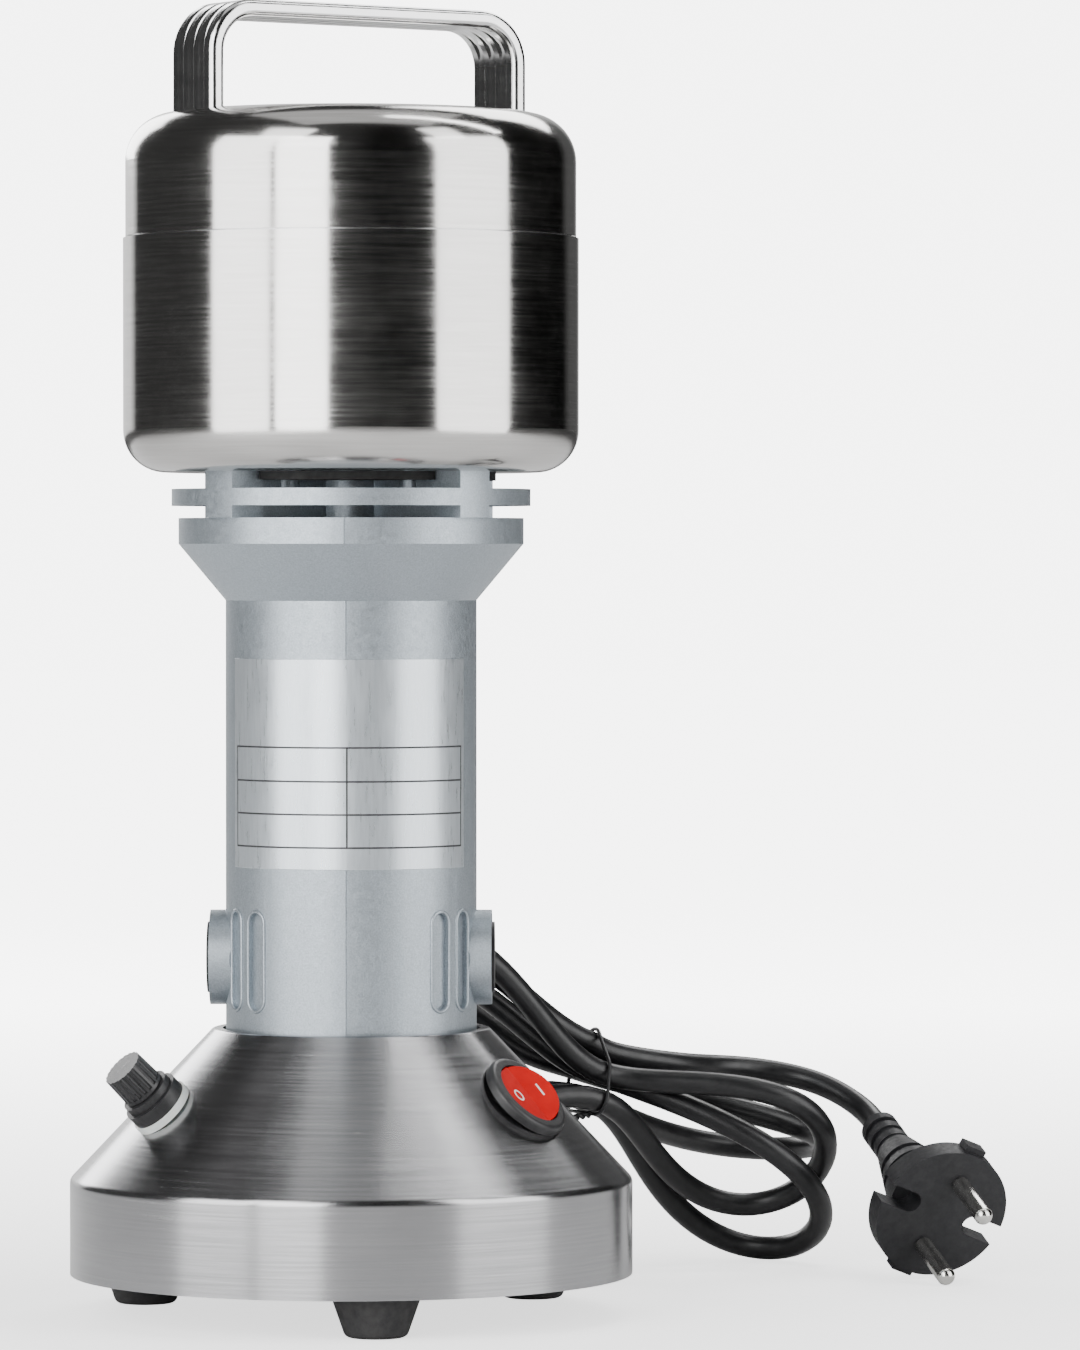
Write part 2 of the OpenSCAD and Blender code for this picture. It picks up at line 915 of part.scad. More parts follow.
module armature_winding() {
    color("peru") {
        translate([0, 0, z_core - winding_h])
            ring(winding_r, shaft_r + seat, winding_h);
        translate([0, 0, z_core_top])
            ring(winding_r, shaft_r + seat, winding_h);
    }
}

module commutator() {
    bar_count = 2 * tooth_count;
    cut = 1;
    color("chocolate")
        difference() {
            translate([0, 0, z_comm])
                ring(comm_r, shaft_r + seat, comm_l);
            for (i = [0:bar_count - 1])
                rotate([0, 0, i * 360 / bar_count])
                    translate([comm_r - cut, -seam_w / 2, z_comm - 1])
                        cube([2 * cut, seam_w, comm_l + 2]);
        }
}

module cooling_fan() {
    color("dimgray")
        difference() {
            union() {
                translate([0, 0, z_fan])
                    cylinder(r = fan_r, h = fan_plate_t);
                translate([0, 0, z_fan])
                    cylinder(r = fan_hub_r, h = fan_h);
                for (i = [0:fan_count - 1])
                    rotate([0, 0, i * 360 / fan_count])
                        translate([fan_hub_r - 1, -fan_blade_t / 2, z_fan])
                            rotate([0, 0, fan_sweep])
                                cube([fan_r - fan_hub_r - 1, fan_blade_t, fan_h]);
            }
            translate([0, 0, z_fan - 1])
                cylinder(r = shaft_r + seat, h = fan_h + 2);
        }
}

module bearing_inner_rings() {
    color("silver") {
        translate([0, 0, z_low_bearing])
            ring(shaft_r + race_t, shaft_r + seat, low_bearing_h);
        translate([0, 0, z_top_bearing])
            ring(shaft_r + top_race_t, shaft_r + seat, top_bearing_h);
    }
}

module bearing_outer_rings() {
    color("silver") {
        translate([0, 0, z_low_bearing])
            ring(low_bearing_d / 2, low_bearing_d / 2 - race_t, low_bearing_h);
        translate([0, 0, z_top_bearing])
            ring(top_bearing_d / 2, top_bearing_d / 2 - top_race_t, top_bearing_h);
    }
}

// Balls fill the gap between two races.
module ball_row(r_in, r_out, z, count) {
    for (i = [0:count - 1])
        rotate([0, 0, i * 360 / count])
            translate([(r_in + r_out) / 2, 0, z])
                sphere((r_out - r_in) / 2 - seat);
}

module bearing_balls() {
    low_z = z_low_bearing + low_bearing_h / 2;
    top_z = z_top_bearing + top_bearing_h / 2;
    color("white") {
        ball_row(shaft_r + race_t, low_bearing_d / 2 - race_t, low_z, low_balls);
        ball_row(shaft_r + top_race_t, top_bearing_d / 2 - top_race_t, top_z, top_balls);
    }
}

module stator_core() {
    color("slategray")
        difference() {
            translate([0, 0, z_core])
                ring(stator_r, bore_r, core_l);
            both_sides()
                rotate([0, 0, -window_a])
                    translate([0, 0, z_core - 1])
                        rotate_extrude(angle = 2 * window_a)
                            translate([bore_r - 1, 0])
                                square([coil_out + window_gap - bore_r + 1, core_l + 2]);
        }
}

module coil_arc(a, r0, r1, z0, z1) {
    rotate([0, 0, a])
        translate([0, 0, z0])
            rotate_extrude(angle = 180 - 2 * a)
                translate([r0, 0])
                    square([r1 - r0, z1 - z0]);
}

// Saddle coils round the two poles: a half ring with the pole's window cut out of it.
module field_coils() {
    z0 = z_core - window_gap;
    z1 = z_core_top + window_gap;
    color("peru")
        both_sides()
            difference() {
                coil_arc(coil_a, coil_in, coil_out, z_core - coil_h, z_core_top + coil_h);
                coil_arc(window_a - window_lap, coil_in - 1, coil_out + 1, z0, z1);
            }
}

// Brush gear, drawn for the +X side.

holder_w = brush_w + 2 * (slip + holder_wall);
holder_h = brush_h + 2 * (slip + holder_wall);

module brush_holders() {
    l = cap_seat - holder_in;
    color("goldenrod")
        both_sides()
            difference() {
                translate([holder_in, -holder_w / 2, z_brush - holder_h / 2])
                    cube([l, holder_w, holder_h]);
                translate([holder_in - 1, -brush_w / 2 - slip, z_brush - brush_h / 2 - slip])
                    cube([l + 2, brush_w + 2 * slip, brush_h + 2 * slip]);
            }
}

module carbon_brushes() {
    color("dimgray")
        both_sides()
            difference() {
                translate([comm_r - 1, -brush_w / 2, z_brush - brush_h / 2])
                    cube([brush_l + 1, brush_w, brush_h]);
                translate([0, 0, z_brush - brush_h])
                    cylinder(r = comm_r + brush_curve, h = 2 * brush_h);
            }
}

module brush_springs() {
    x0 = comm_r + brush_l + spring_wire / 2 + seat;
    x1 = cap_seat - spring_wire / 2 - seat;
    r = brush_w / 2 - spring_wire / 2;
    rings = 8 * spring_turns;
    path = [for (i = [0:rings]) let (a = 360 * spring_turns * i / rings)
        [x0 + (x1 - x0) * i / rings, r * cos(a), z_brush + r * sin(a)]];
    color("silver")
        both_sides()
            tube(path, spring_wire / 2, loop_sides);
}

module brush_caps() {
    color("black")
        both_sides()
            difference() {
                translate([cap_seat, 0, z_brush])
                    round_bar(cap_sink + cap_out, cap_r);
                translate([boss_tip + cap_out - cap_slot_depth, -cap_slot_w / 2, z_brush - cap_slot_l / 2])
                    cube([2 * cap_slot_depth, cap_slot_w, cap_slot_l]);
            }
}

// Column housing

module housing_outline() {
    z0 = z_plate_top;
    polygon([
        [cable_hole_r, z0],
        [column_r, z0],
        [column_r, z_flare],
        [collar_r, z_collar],
        [collar_r, z_neck],
        [flange_in, z_neck],
        [flange_in, z_neck - flange_t],
        [collar_r - housing_wall, z_neck - flange_t],
        [collar_r - housing_wall, z_collar],
        [housing_r, z_flare + housing_wall - wall_slant + housing_wall],
        [housing_r, z_core],
        [housing_r - ledge_w, z_core],
        [housing_r - ledge_w, z_core - ledge_h],
        [housing_r, z_core - ledge_h],
        [housing_r, z_low_bearing + low_bearing_h],
        [low_bearing_d / 2 + seat, z_low_bearing + low_bearing_h],
        [low_bearing_d / 2 + seat, z_low_bearing],
        [shaft_r + race_t + 1, z_low_bearing],
        [shaft_r + race_t + 1, z_web],
        [housing_r, z_web],
        [housing_r, z_plate_top + column_floor_t],
        [cable_hole_r, z_plate_top + column_floor_t],
    ]);
}

module slot_cut() {
    straight = slot_h - slot_w;
    rotate([90, 0, 0])
        translate([0, 0, -slot_depth]) {
            translate([-slot_w / 2, -straight / 2, 0])
                cube([slot_w, straight, 2 * slot_depth]);
            for (y = [-straight / 2, straight / 2])
                translate([0, y, 0])
                    cylinder(r = slot_w / 2, h = 2 * slot_depth);
        }
}

module housing_whole() {
    difference() {
        union() {
            rotate_extrude()
                housing_outline();
            both_sides()
                translate([boss_in, 0, z_brush])
                    round_bar(boss_tip - boss_in, boss_r);
        }
        both_sides() {
            translate([cap_seat, 0, z_brush])
                round_bar(cap_sink + 1, cap_r + seat);
            translate([boss_in - 1, -holder_w / 2 - seat, z_brush - holder_h / 2 - seat])
                cube([cap_seat - boss_in + 2, holder_w + 2 * seat, holder_h + 2 * seat]);
        }
        for (side = [-1, 1], a = slot_angles)
            rotate([0, 0, side * a])
                translate([0, -column_r, z_brush])
                    slot_cut();
        both_sides() {
            translate([-seam_w / 2, -column_r - 1, z_plate_top])
                cube([seam_w, 1 + seam_depth, z_flare - z_plate_top]);
            translate([-seam_w / 2, -collar_r - 1, z_collar])
                cube([seam_w, 1 + seam_depth, collar_h + 1]);
        }
        column_screw_places()
            translate([0, 0, z_plate_top - 1])
                cylinder(r = screw_r + seat, h = column_floor_t + 2);
        round_posts()
            translate([neck_screw_r, 0, z_neck - flange_t - 1])
                cylinder(r = screw_r + seat, h = flange_t + 2);
    }
}

module housing_half(side) {
    color("lightsteelblue")
        difference() {
            housing_whole();
            translate([side > 0 ? -2 * collar_r : 0, -2 * collar_r, 0])
                cube([2 * collar_r, 4 * collar_r, z_bowl]);
        }
}

module housing_left() {
    housing_half(-1);
}

module housing_right() {
    housing_half(1);
}

module column_screw_places() {
    for (a = column_screw_angles)
        rotate([0, 0, a])
            translate([column_screw_r, 0, 0])
                children();
}

module column_screws() {
    color("gray")
        column_screw_places()
            translate([0, 0, z_plate - screw_head_h])
                pan_screw(screw_r, screw_head_r, screw_head_h, plate_t + column_floor_t - slip);
}

// Neck

module neck_bracket() {
    thread_l = bowl_screw_bite + slip;
    screw_boss_h = thread_l + screw_boss_wall;
    color("lightsteelblue")
        difference() {
            union() {
                translate([0, 0, z_ring])
                    ring(ring_r, ring_r - ring_w, ring_t);
                intersection() {
                    cylinder(r = ring_r, h = z_bowl);
                    round_posts()
                        translate([post_in, -post_w / 2, z_neck])
                            cube([post_depth + 1, post_w, z_bowl - z_neck]);
                }
                round_posts() {
                    translate([0, -spoke_w / 2, z_neck])
                        cube([post_in + facet, spoke_w, z_gasket - z_neck]);
                    translate([bowl_screw_r, 0, z_gasket - screw_boss_h])
                        cylinder(r = screw_r + screw_boss_wall, h = screw_boss_h);
                }
                translate([0, 0, z_hub])
                    cylinder(r = hub_d / 2, h = z_gasket - z_hub);
            }
            translate([0, 0, z_top_bearing])
                cylinder(r = top_bearing_d / 2 + seat, h = z_bowl - z_top_bearing);
            translate([0, 0, z_hub - 1])
                cylinder(r = shaft_r + race_t, h = hub_floor_t + 2);
            round_posts() {
                translate([bowl_screw_r, 0, z_gasket - thread_l])
                    cylinder(r = screw_r + seat, h = thread_l + 1);
                translate([neck_screw_r, 0, z_neck - 1])
                    cylinder(r = screw_r + seat, h = screw_bite + slip + 1);
            }
        }
}

module neck_screws() {
    color("gray")
        round_posts()
            translate([neck_screw_r, 0, z_neck - flange_t - screw_head_h])
                pan_screw(screw_r, screw_head_r, screw_head_h, flange_t + screw_bite);
}

// Base

module cover_outline() {
    turn = acos(cone_nr);
    edge_run = edge_r * tan(turn / 2);
    lip_run = lip_r * tan((90 - turn) / 2);
    in_edge = z_edge - cover_t * cone_nz + cover_t * (1 - cone_nr) / cone_nz * cone_nr;
    in_up = (cone_h - cover_t + cover_t * cone_nz) / cone_nr;
    in_mouth = base_r - cover_t * cone_nr - in_up * cone_nz;
    polygon(concat(
        [[base_r, rim_lift]],
        arc([base_r - edge_r, z_edge - edge_run], edge_r, 0, turn),
        arc([mouth_r - lip_run, z_mouth - lip_r], lip_r, turn, 90),
        [
            [mouth_hole_r, z_mouth],
            [mouth_hole_r, z_mouth - cover_t],
            [in_mouth, z_mouth - cover_t],
            [base_r - cover_t, in_edge],
            [base_r - cover_t, rim_lift],
        ]
    ));
}

module base_cover() {
    color("silver")
        difference() {
            union() {
                rotate_extrude()
                    cover_outline();
                round_lugs()
                    translate([lug_r, -lug_w / 2, z_plate_top])
                        cube([lug_depth + cover_t / 3, lug_w, lug_h]);
            }
            at_switch()
                translate([0, 0, -barrel_l])
                    cylinder(r = barrel_r + seat, h = 2 * barrel_l);
            at_fuse()
                translate([0, 0, -fuse_barrel_l])
                    cylinder(r = fuse_barrel_r + seat, h = 2 * fuse_barrel_l);
            at_gland()
                translate([0, 0, -gland_l / 2])
                    cylinder(r = gland_r + seat, h = gland_l);
            round_lugs()
                translate([plate_screw_r, 0, z_plate_top - 1])
                    cylinder(r = screw_r + seat, h = screw_bite + slip + 1);
        }
}

module base_plate() {
    color("gray")
        difference() {
            translate([0, 0, z_plate])
                cylinder(r = base_r - cover_t - seat, h = plate_t);
            round_lugs()
                translate([plate_screw_r, 0, 0])
                    cylinder(r = screw_r + seat, h = z_plate_top + 1);
            column_screw_places()
                cylinder(r = screw_r + seat, h = z_plate_top + 1);
            round_feet()
                cylinder(r = foot_bolt_r + seat, h = z_plate_top + 1);
        }
}

module plate_screws() {
    color("gray")
        round_lugs()
            translate([plate_screw_r, 0, z_plate - screw_head_h])
                pan_screw(screw_r, screw_head_r, screw_head_h, plate_t + screw_bite);
}

module foot() {
    tip_r = foot_tip_d / 2;
    top_r = foot_top_d / 2;
    rotate_extrude()
        polygon(concat(
            [[foot_bolt_head_r + slip, 0]],
            arc([tip_r - foot_edge, foot_edge], foot_edge, -90, -foot_flank),
            [
                [top_r, z_plate],
                [foot_bolt_r + seat, z_plate],
                [foot_bolt_r + seat, foot_sink + foot_bolt_head_h],
                [foot_bolt_head_r + slip, foot_sink + foot_bolt_head_h],
            ]
        ));
}

module foot_at(i) {
    color("dimgray")
        rotate([0, 0, foot_turn + i * 360 / foot_count])
            translate([0, -foot_r, 0])
                foot();
}

module foot_screws() {
    shank = z_plate_top + foot_bolt_over - foot_sink - foot_bolt_head_h;
    color("gray")
        round_feet()
            translate([0, 0, foot_sink])
                pan_screw(foot_bolt_r, foot_bolt_head_r, foot_bolt_head_h, shank);
}

// Switch

module switch_body() {
    round_over = 1.2;
    cup = rocker_low + slip - rocker_pivot;
    color("black")
        at_switch()
            difference() {
                union() {
                    rotate_extrude()
                        polygon(concat(
                            [[0, 0], [bezel_r, 0]],
                            arc([bezel_r - round_over, bezel_h - round_over], round_over, 0, 90),
                            [[0, bezel_h]]
                        ));
                    translate([0, 0, -barrel_l])
                        cylinder(r = barrel_r, h = barrel_l + facet);
                }
                translate([0, 0, -cup])
                    cylinder(r = rocker_bore, h = cup + bezel_h + 1);
                translate([0, 0, rocker_pivot])
                    rotate([90, 0, 0])
                        cylinder(r = pivot_r + pivot_fit, h = pivot_l + 2 * slip, center = true);
            }
}

module switch_tabs() {
    color("goldenrod")
        at_switch()
            for (x = [-1, 1])
                translate([x * barrel_r / 3 - tab_t / 2, -barrel_r / 2 - tab_w / 2, -barrel_l - tab_l])
                    cube([tab_t, tab_w, tab_l]);
}

// Ball-sided rocker with a dished top on a pivot pin, at rest with its left half pressed.
module switch_rocker() {
    color("red")
        at_switch()
            translate([0, 0, rocker_pivot])
                rotate([0, -rock_a, 0]) {
                    intersection() {
                        sphere(rocker_r);
                        rotate([90, 0, 0])
                            translate([0, 0, -rocker_d])
                                linear_extrude(2 * rocker_d)
                                    polygon([
                                        [-rocker_d, rocker_tilt - rocker_low],
                                        [0, -rocker_low],
                                        [rocker_d, rocker_tilt - rocker_low],
                                        [rocker_d, rocker_crown + rocker_tilt],
                                        [0, rocker_crown],
                                        [-rocker_d, rocker_crown + rocker_tilt],
                                    ]);
                    }
                    rotate([90, 0, 0])
                        cylinder(r = pivot_r, h = pivot_l, center = true);
                }
}

// Fuse holder

module fuse_washer() {
    color("white")
        at_fuse()
            ring(washer_d / 2, fuse_barrel_r + seat, washer_t);
}

module fuse_body() {
    spigot_hole = fuse_spigot_r + slip;
    color("black")
        at_fuse()
            difference() {
                union() {
                    translate([0, 0, -fuse_barrel_l])
                        cylinder(r = fuse_barrel_r, h = fuse_barrel_l + washer_t + facet);
                    translate([0, 0, washer_t])
                        cylinder(r = fuse_flange_d / 2, h = fuse_flange_h);
                    translate([0, 0, washer_t + fuse_flange_h])
                        cylinder(r = fuse_collar_d / 2, h = fuse_collar_h);
                }
                translate([0, 0, fuse_link_z - slip])
                    cylinder(r = fuse_bore_r, h = 2 * fuse_link_l);
                translate([0, 0, fuse_cap_z - fuse_spigot_l - slip])
                    cylinder(r = spigot_hole, h = fuse_spigot_l + slip + 1);
            }
}

module fuse_nut() {
    color("black")
        at_fuse()
            translate([0, 0, -cover_t - fuse_sag - fuse_nut_t])
                difference() {
                    cylinder(r = fuse_nut_d / 2, h = fuse_nut_t, $fn = 6);
                    translate([0, 0, -1])
                        cylinder(r = fuse_barrel_r + seat, h = fuse_nut_t + 2);
                }
}

module fuse_cap() {
    cap_r1 = fuse_cap_d / 2;
    color("dimgray")
        at_fuse()
            translate([0, 0, fuse_cap_z])
                difference() {
                    union() {
                        translate([0, 0, slip])
                            cylinder(r1 = cap_r1, r2 = cap_r1 - fuse_draft, h = fuse_cap_h - slip);
                        translate([0, 0, -fuse_spigot_l])
                            cylinder(r = fuse_spigot_r, h = fuse_spigot_l + 1);
                    }
                    translate([0, 0, -fuse_spigot_l - 1])
                        cylinder(r = fuse_link_d / 2 + seat, h = fuse_spigot_l + 1 + fuse_grip + seat);
                    for (i = [0:grip_count - 1])
                        rotate([0, 0, i * 360 / grip_count])
                            translate([cap_r1, 0, grip_start])
                                cylinder(r = grip_r, h = fuse_cap_h);
                }
}

module fuse_link() {
    color("azure")
        at_fuse()
            translate([0, 0, fuse_link_z])
                cylinder(r = fuse_link_d / 2, h = fuse_link_l);
}

// Cord

// Tube of straight-sided rings along a path, with flat ends.
function along(p, i) = unit(p[min(i + 1, len(p) - 1)] - p[max(i - 1, 0)]);
function side_step(t, prev) = unit(prev - (prev * t) * t);
function frames(p) = [
    for (i = 0, n = side_step(along(p, 0), abs(along(p, 0)[2]) > 0.9 ? [1, 0, 0] : [0, 0, 1]); i < len(p);
        i = i + 1, n = side_step(along(p, min(i, len(p) - 1)), n))
        n
];

module tube(path, r, sides) {
    side = frames(path);
    count = len(path);
    points = [
        for (i = [0:count - 1], k = [0:sides - 1])
            let (a = 360 * k / sides, b = cross(along(path, i), side[i]))
            path[i] + r * (cos(a) * side[i] + sin(a) * b)
    ];
    walls = [
        for (i = [0:count - 2], k = [0:sides - 1])
            let (a = i * sides + k, b = i * sides + (k + 1) % sides)
            each [[a, b + sides, b], [a, a + sides, b + sides]]
    ];
    first = [for (k = [1:sides - 2]) [0, k, k + 1]];
    last = [for (k = [1:sides - 2]) [for (j = [0, k + 1, k]) (count - 1) * sides + j]];
    polyhedron(points, concat(walls, first, last), convexity = 10);
}

// Point of the hank at turn t: right loop in the first half of a turn, left loop in the second.
function pick(right, a, b, k) = right ? a[k] : b[k];
function hank_point(t) =
    let (
        a = 360 * t,
        k = min(floor(t), turns - 1),
        right = t - floor(t) < 0.5,
        reach = pick(right, reach_right, reach_left, k),
        spread = pick(right, spread_right, spread_left, k),
        roll = pick(right, roll_right, roll_left, k),
        droop = pick(right, droop_right, droop_left, k),
        lean = pick(right, lean_right, lean_left, k),
        open = (sqrt(sin(a) ^ 2 + pinch_soft ^ 2) - pinch_soft) / (sqrt(1 + pinch_soft ^ 2) - pinch_soft),
        cross_over = ease((t - last_cross) / 0.5),
        u = reach * (sin(a) - end_round * sin(3 * a)) / (1 + end_round),
        v = cos(a) * (strand_rise + spread * open * cos(roll)) + droop * open
            + 2 * strand_rise * cross_over,
        w = strand_step * (min(t, last_cross) - 1 - 2 * cross_over) + lean * open
            + cos(a) * spread * open * sin(roll),
        fall = u > 0 ? fall_right : fall_left,
        drop = tanh(hank_slope * u / fall),
        slope = -hank_slope * (1 - drop ^ 2),
        ahead = [cos(hank_yaw), sin(hank_yaw), 0],
        up = unit([-slope * ahead[0], -slope * ahead[1], 1]),
        front = [sin(hank_yaw), -cos(hank_yaw), 0]
    )
    hank_at + u * ahead + [0, 0, -fall * drop] + v * up + w * front;

hank_turns = [for (i = [0:turns * loop_rings]) hank_point(i / loop_rings)];
hank_in = unit(hank_turns[1] - hank_turns[0]);
hank_out = unit(hank_turns[turns * loop_rings] - hank_turns[turns * loop_rings - 1]);
hank_start = hank_turns[0] - cord_d * hank_in;
hank_end = hank_turns[turns * loop_rings] + hank_tail * cord_d * hank_out;
hank_path = concat([hank_start], hank_turns, [hank_end]);

// Smooth stretch that starts at the first point and ends at the last.
function blend(a, b, c, d, t) = (
    (1 - t) ^ 3 * a
    + (3 * t ^ 3 - 6 * t ^ 2 + 4) * b
    + (-3 * t ^ 3 + 3 * t ^ 2 + 3 * t + 1) * c
    + t ^ 3 * d
) / 6;
function smooth(p) =
    let (n = len(p), q = concat([2 * p[0] - p[1]], p, [2 * p[n - 1] - p[n - 2]]))
    concat(
        [
            for (i = [0:n - 2], k = [0:lead_steps - 1])
                blend(q[i], q[i + 1], q[i + 2], q[i + 3], k / lead_steps)
        ],
        [p[n - 1]]
    );

gland_tip = [0, base_r + gland_l, z_gland];
lead_in_path = smooth(concat(
    [gland_tip, gland_tip + [0, gland_lead, 0]],
    lead_in_mid,
    [hank_start - hank_lead_in * hank_in, hank_start]
));
lead_out_path = smooth(concat(
    [hank_end, hank_end + hank_lead_out * hank_out],
    lead_out_mid,
    [plug_back - plug_lead * plug_axis, plug_back]
));

function total(v, i = 0) = i < len(v) ? v[i] + total(v, i + 1) : 0;
function run_length(p) = total([for (i = [1:len(p) - 1]) norm(p[i] - p[i - 1])]);
loop_apart = 4;
hank_gap = min([
    for (i = [0:len(hank_path) - 1], j = [i + loop_apart:1:len(hank_path) - 1])
        norm(hank_path[i] - hank_path[j])
]) - cord_d;
cord_length = run_length(lead_in_path) + run_length(hank_path) + run_length(lead_out_path);
echo(str("hank least gap to itself ", hank_gap, " mm"));
echo(str("cord length ", cord_length, " mm"));

module cord_gland() {
    sleeve_l = gland_l - gland_flange_t;
    rib = sleeve_l / (2 * gland_ribs);
    nut_face = -cover_t - gland_nut_r ^ 2 / (2 * (base_r - cover_t)) - slip;
    color("black")
        at_gland() {
            cylinder(r = gland_flange_r, h = gland_flange_t);
            translate([0, 0, nut_face - gland_nut_t])
                cylinder(r = gland_r, h = gland_nut_t - nut_face + facet);
            translate([0, 0, nut_face - gland_nut_t])
                cylinder(r = gland_nut_r, h = gland_nut_t);
            translate([0, 0, gland_flange_t])
                cylinder(r1 = gland_r - gland_groove, r2 = gland_tip_r - gland_groove, h = sleeve_l);
            for (i = [0:gland_ribs - 1])
                translate([0, 0, gland_flange_t + (2 * i + 1) * rib])
                    cylinder(r = gland_r + (gland_tip_r - gland_r) * i / gland_ribs, h = rib);
        }
}

module cord_lead_in() {
    color("black")
        tube(lead_in_path, cord_d / 2, lead_sides);
}

module cord_hank() {
    color("black")
        tube(hank_path, cord_d / 2, loop_sides);
}

module cord_lead_out() {
    color("black")
        tube(lead_out_path, cord_d / 2, lead_sides);
}

// Local frame at the tie: +X along the hank, +Y up its section, +Z to the front.
module at_tie() {
    slope_a = atan(hank_slope);
    translate(hank_at)
        rotate([0, 0, hank_yaw])
            rotate([0, slope_a, 0])
                rotate([90, 0, 0])
                    children();
}

module cord_tie() {
    strands = [
        [-strand_step / 2, -strand_rise],
        [1.5 * strand_step, -strand_rise],
        [strand_step, strand_rise],
        [-strand_step / 2, 3 * strand_rise],
        [-strand_step, strand_rise],
    ];
    inner = cord_d / 2 + slip;
    color("black")
        at_tie() {
            translate([-tie_w / 2, 0, 0])
                rotate([0, 90, 0])
                    linear_extrude(tie_w)
                        difference() {
                            offset(r = inner + tie_t, $fn = tie_facets)
                                polygon([for (s = strands) [-s[0], s[1]]]);
                            offset(r = inner, $fn = tie_facets)
                                polygon([for (s = strands) [-s[0], s[1]]]);
                        }
            translate([0, -strand_rise - inner - tie_t / 2, 1.2 * strand_step])
                rotate(tie_tail_tilt)
                    for (a = [-tie_tail_spread, tie_tail_spread])
                        rotate([0, a, 0])
                            cylinder(r = tie_t / 2, h = tie_tail);
        }
}

// Plug: +Z is the way the pins point, z = 0 on its face.
module at_plug() {
    translate(plug_at)
        rotate([0, 90 + plug_pitch, plug_yaw])
            rotate([0, 0, plug_roll])
                children();
}

module plug_body() {
    face_r = plug_d / 2;
    lug = 3;
    neck_l = plug_l - plug_t - plug_relief_l;
    ring_start = plug_relief_l * 0.1;
    ring_step = plug_relief_l * 0.3;
    ring_l = plug_relief_l * 0.17;
    groove_start = 0.5;
    groove_step = 0.22;
    groove_l = neck_l * 0.1;
    groove_depth = 0.9;
    function neck_r(f) = plug_neck_r + (plug_tail_r - plug_neck_r) * f;
    color("black")
        at_plug()
            difference() {
                union() {
                    translate([0, 0, -plug_t])
                        cylinder(r = face_r, h = plug_t);
                    for (x = [-1, 1])
                        translate([x * (face_r - 1) - lug / 2 - 1, -lug, -plug_t])
                            cube([lug + 2, 2 * lug, plug_t * 0.7]);
                    translate([0, 0, -plug_t - neck_l])
                        cylinder(r1 = plug_tail_r, r2 = plug_neck_r, h = neck_l + facet);
                    translate([0, 0, -plug_l])
                        cylinder(r1 = plug_tail_r - 1.6, r2 = plug_tail_r - 0.6, h = plug_relief_l + 1);
                    for (i = [0:2])
                        translate([0, 0, -plug_l + ring_start + ring_step * i])
                            cylinder(r = plug_tail_r - 0.5, h = ring_l);
                }
                for (y = [-1, 1]) {
                    translate([-notch_w / 2, y > 0 ? face_r - notch_depth : -face_r - 1, -plug_t - 1])
                        cube([notch_w, notch_depth + 1, plug_t + 2]);
                    translate([0, y * (face_r - notch_depth), -plug_t - 1])
                        cylinder(r = notch_w / 2, h = plug_t + 2);
                }
                for (x = [-1, 1])
                    translate([x * pin_gap / 2, 0, -pin_root])
                        cylinder(r = pin_neck_r + seat, h = pin_root + 1);
                for (i = [0:1])
                    translate([0, 0, -plug_t - neck_l * (groove_start + groove_step * i)])
                        ring(plug_neck_r, neck_r(groove_start + groove_step * i) - groove_depth, groove_l);
            }
}

module plug_pins() {
    dome = pin_d / 2 * 0.8;
    color("silver")
        at_plug()
            for (x = [-1, 1])
                translate([x * pin_gap / 2, 0, 0]) {
                    translate([0, 0, seat - pin_root])
                        cylinder(r = pin_neck_r, h = pin_root + pin_shoulder);
                    translate([0, 0, pin_shoulder])
                        cylinder(r = pin_d / 2, h = pin_l - dome - pin_shoulder);
                    intersection() {
                        translate([0, 0, pin_l - dome])
                            cylinder(r = pin_d / 2, h = dome);
                        translate([0, 0, pin_l - pin_d / 2])
                            sphere(pin_d / 2);
                    }
                }
}

lid_shell();
lid_liner();
lid_seal();
lid_handle();
handle_screws();
bowl();
bowl_mouth_ring();
bowl_gasket();
bowl_screws();
shaft_seal();
lower_blade();
upper_blade();
blade_sleeves();
blade_nut();
motor_shaft();
armature_core();
armature_winding();
commutator();
cooling_fan();
bearing_inner_rings();
bearing_outer_rings();
bearing_balls();
stator_core();
field_coils();
brush_holders();
carbon_brushes();
brush_springs();
brush_caps();
neck_bracket();
neck_screws();
housing_left();
housing_right();
column_screws();
base_cover();
base_plate();
plate_screws();
foot_at(0);  // foot_1
foot_at(1);  // foot_2
foot_at(2);  // foot_3
foot_screws();
switch_body();
switch_rocker();
switch_tabs();
fuse_washer();
fuse_body();
fuse_nut();
fuse_cap();
fuse_link();
cord_gland();
cord_lead_in();
cord_hank();
cord_lead_out();
cord_tie();
plug_body();
plug_pins();
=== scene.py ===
import math
import bpy
import bmesh
from mathutils import Matrix, Vector


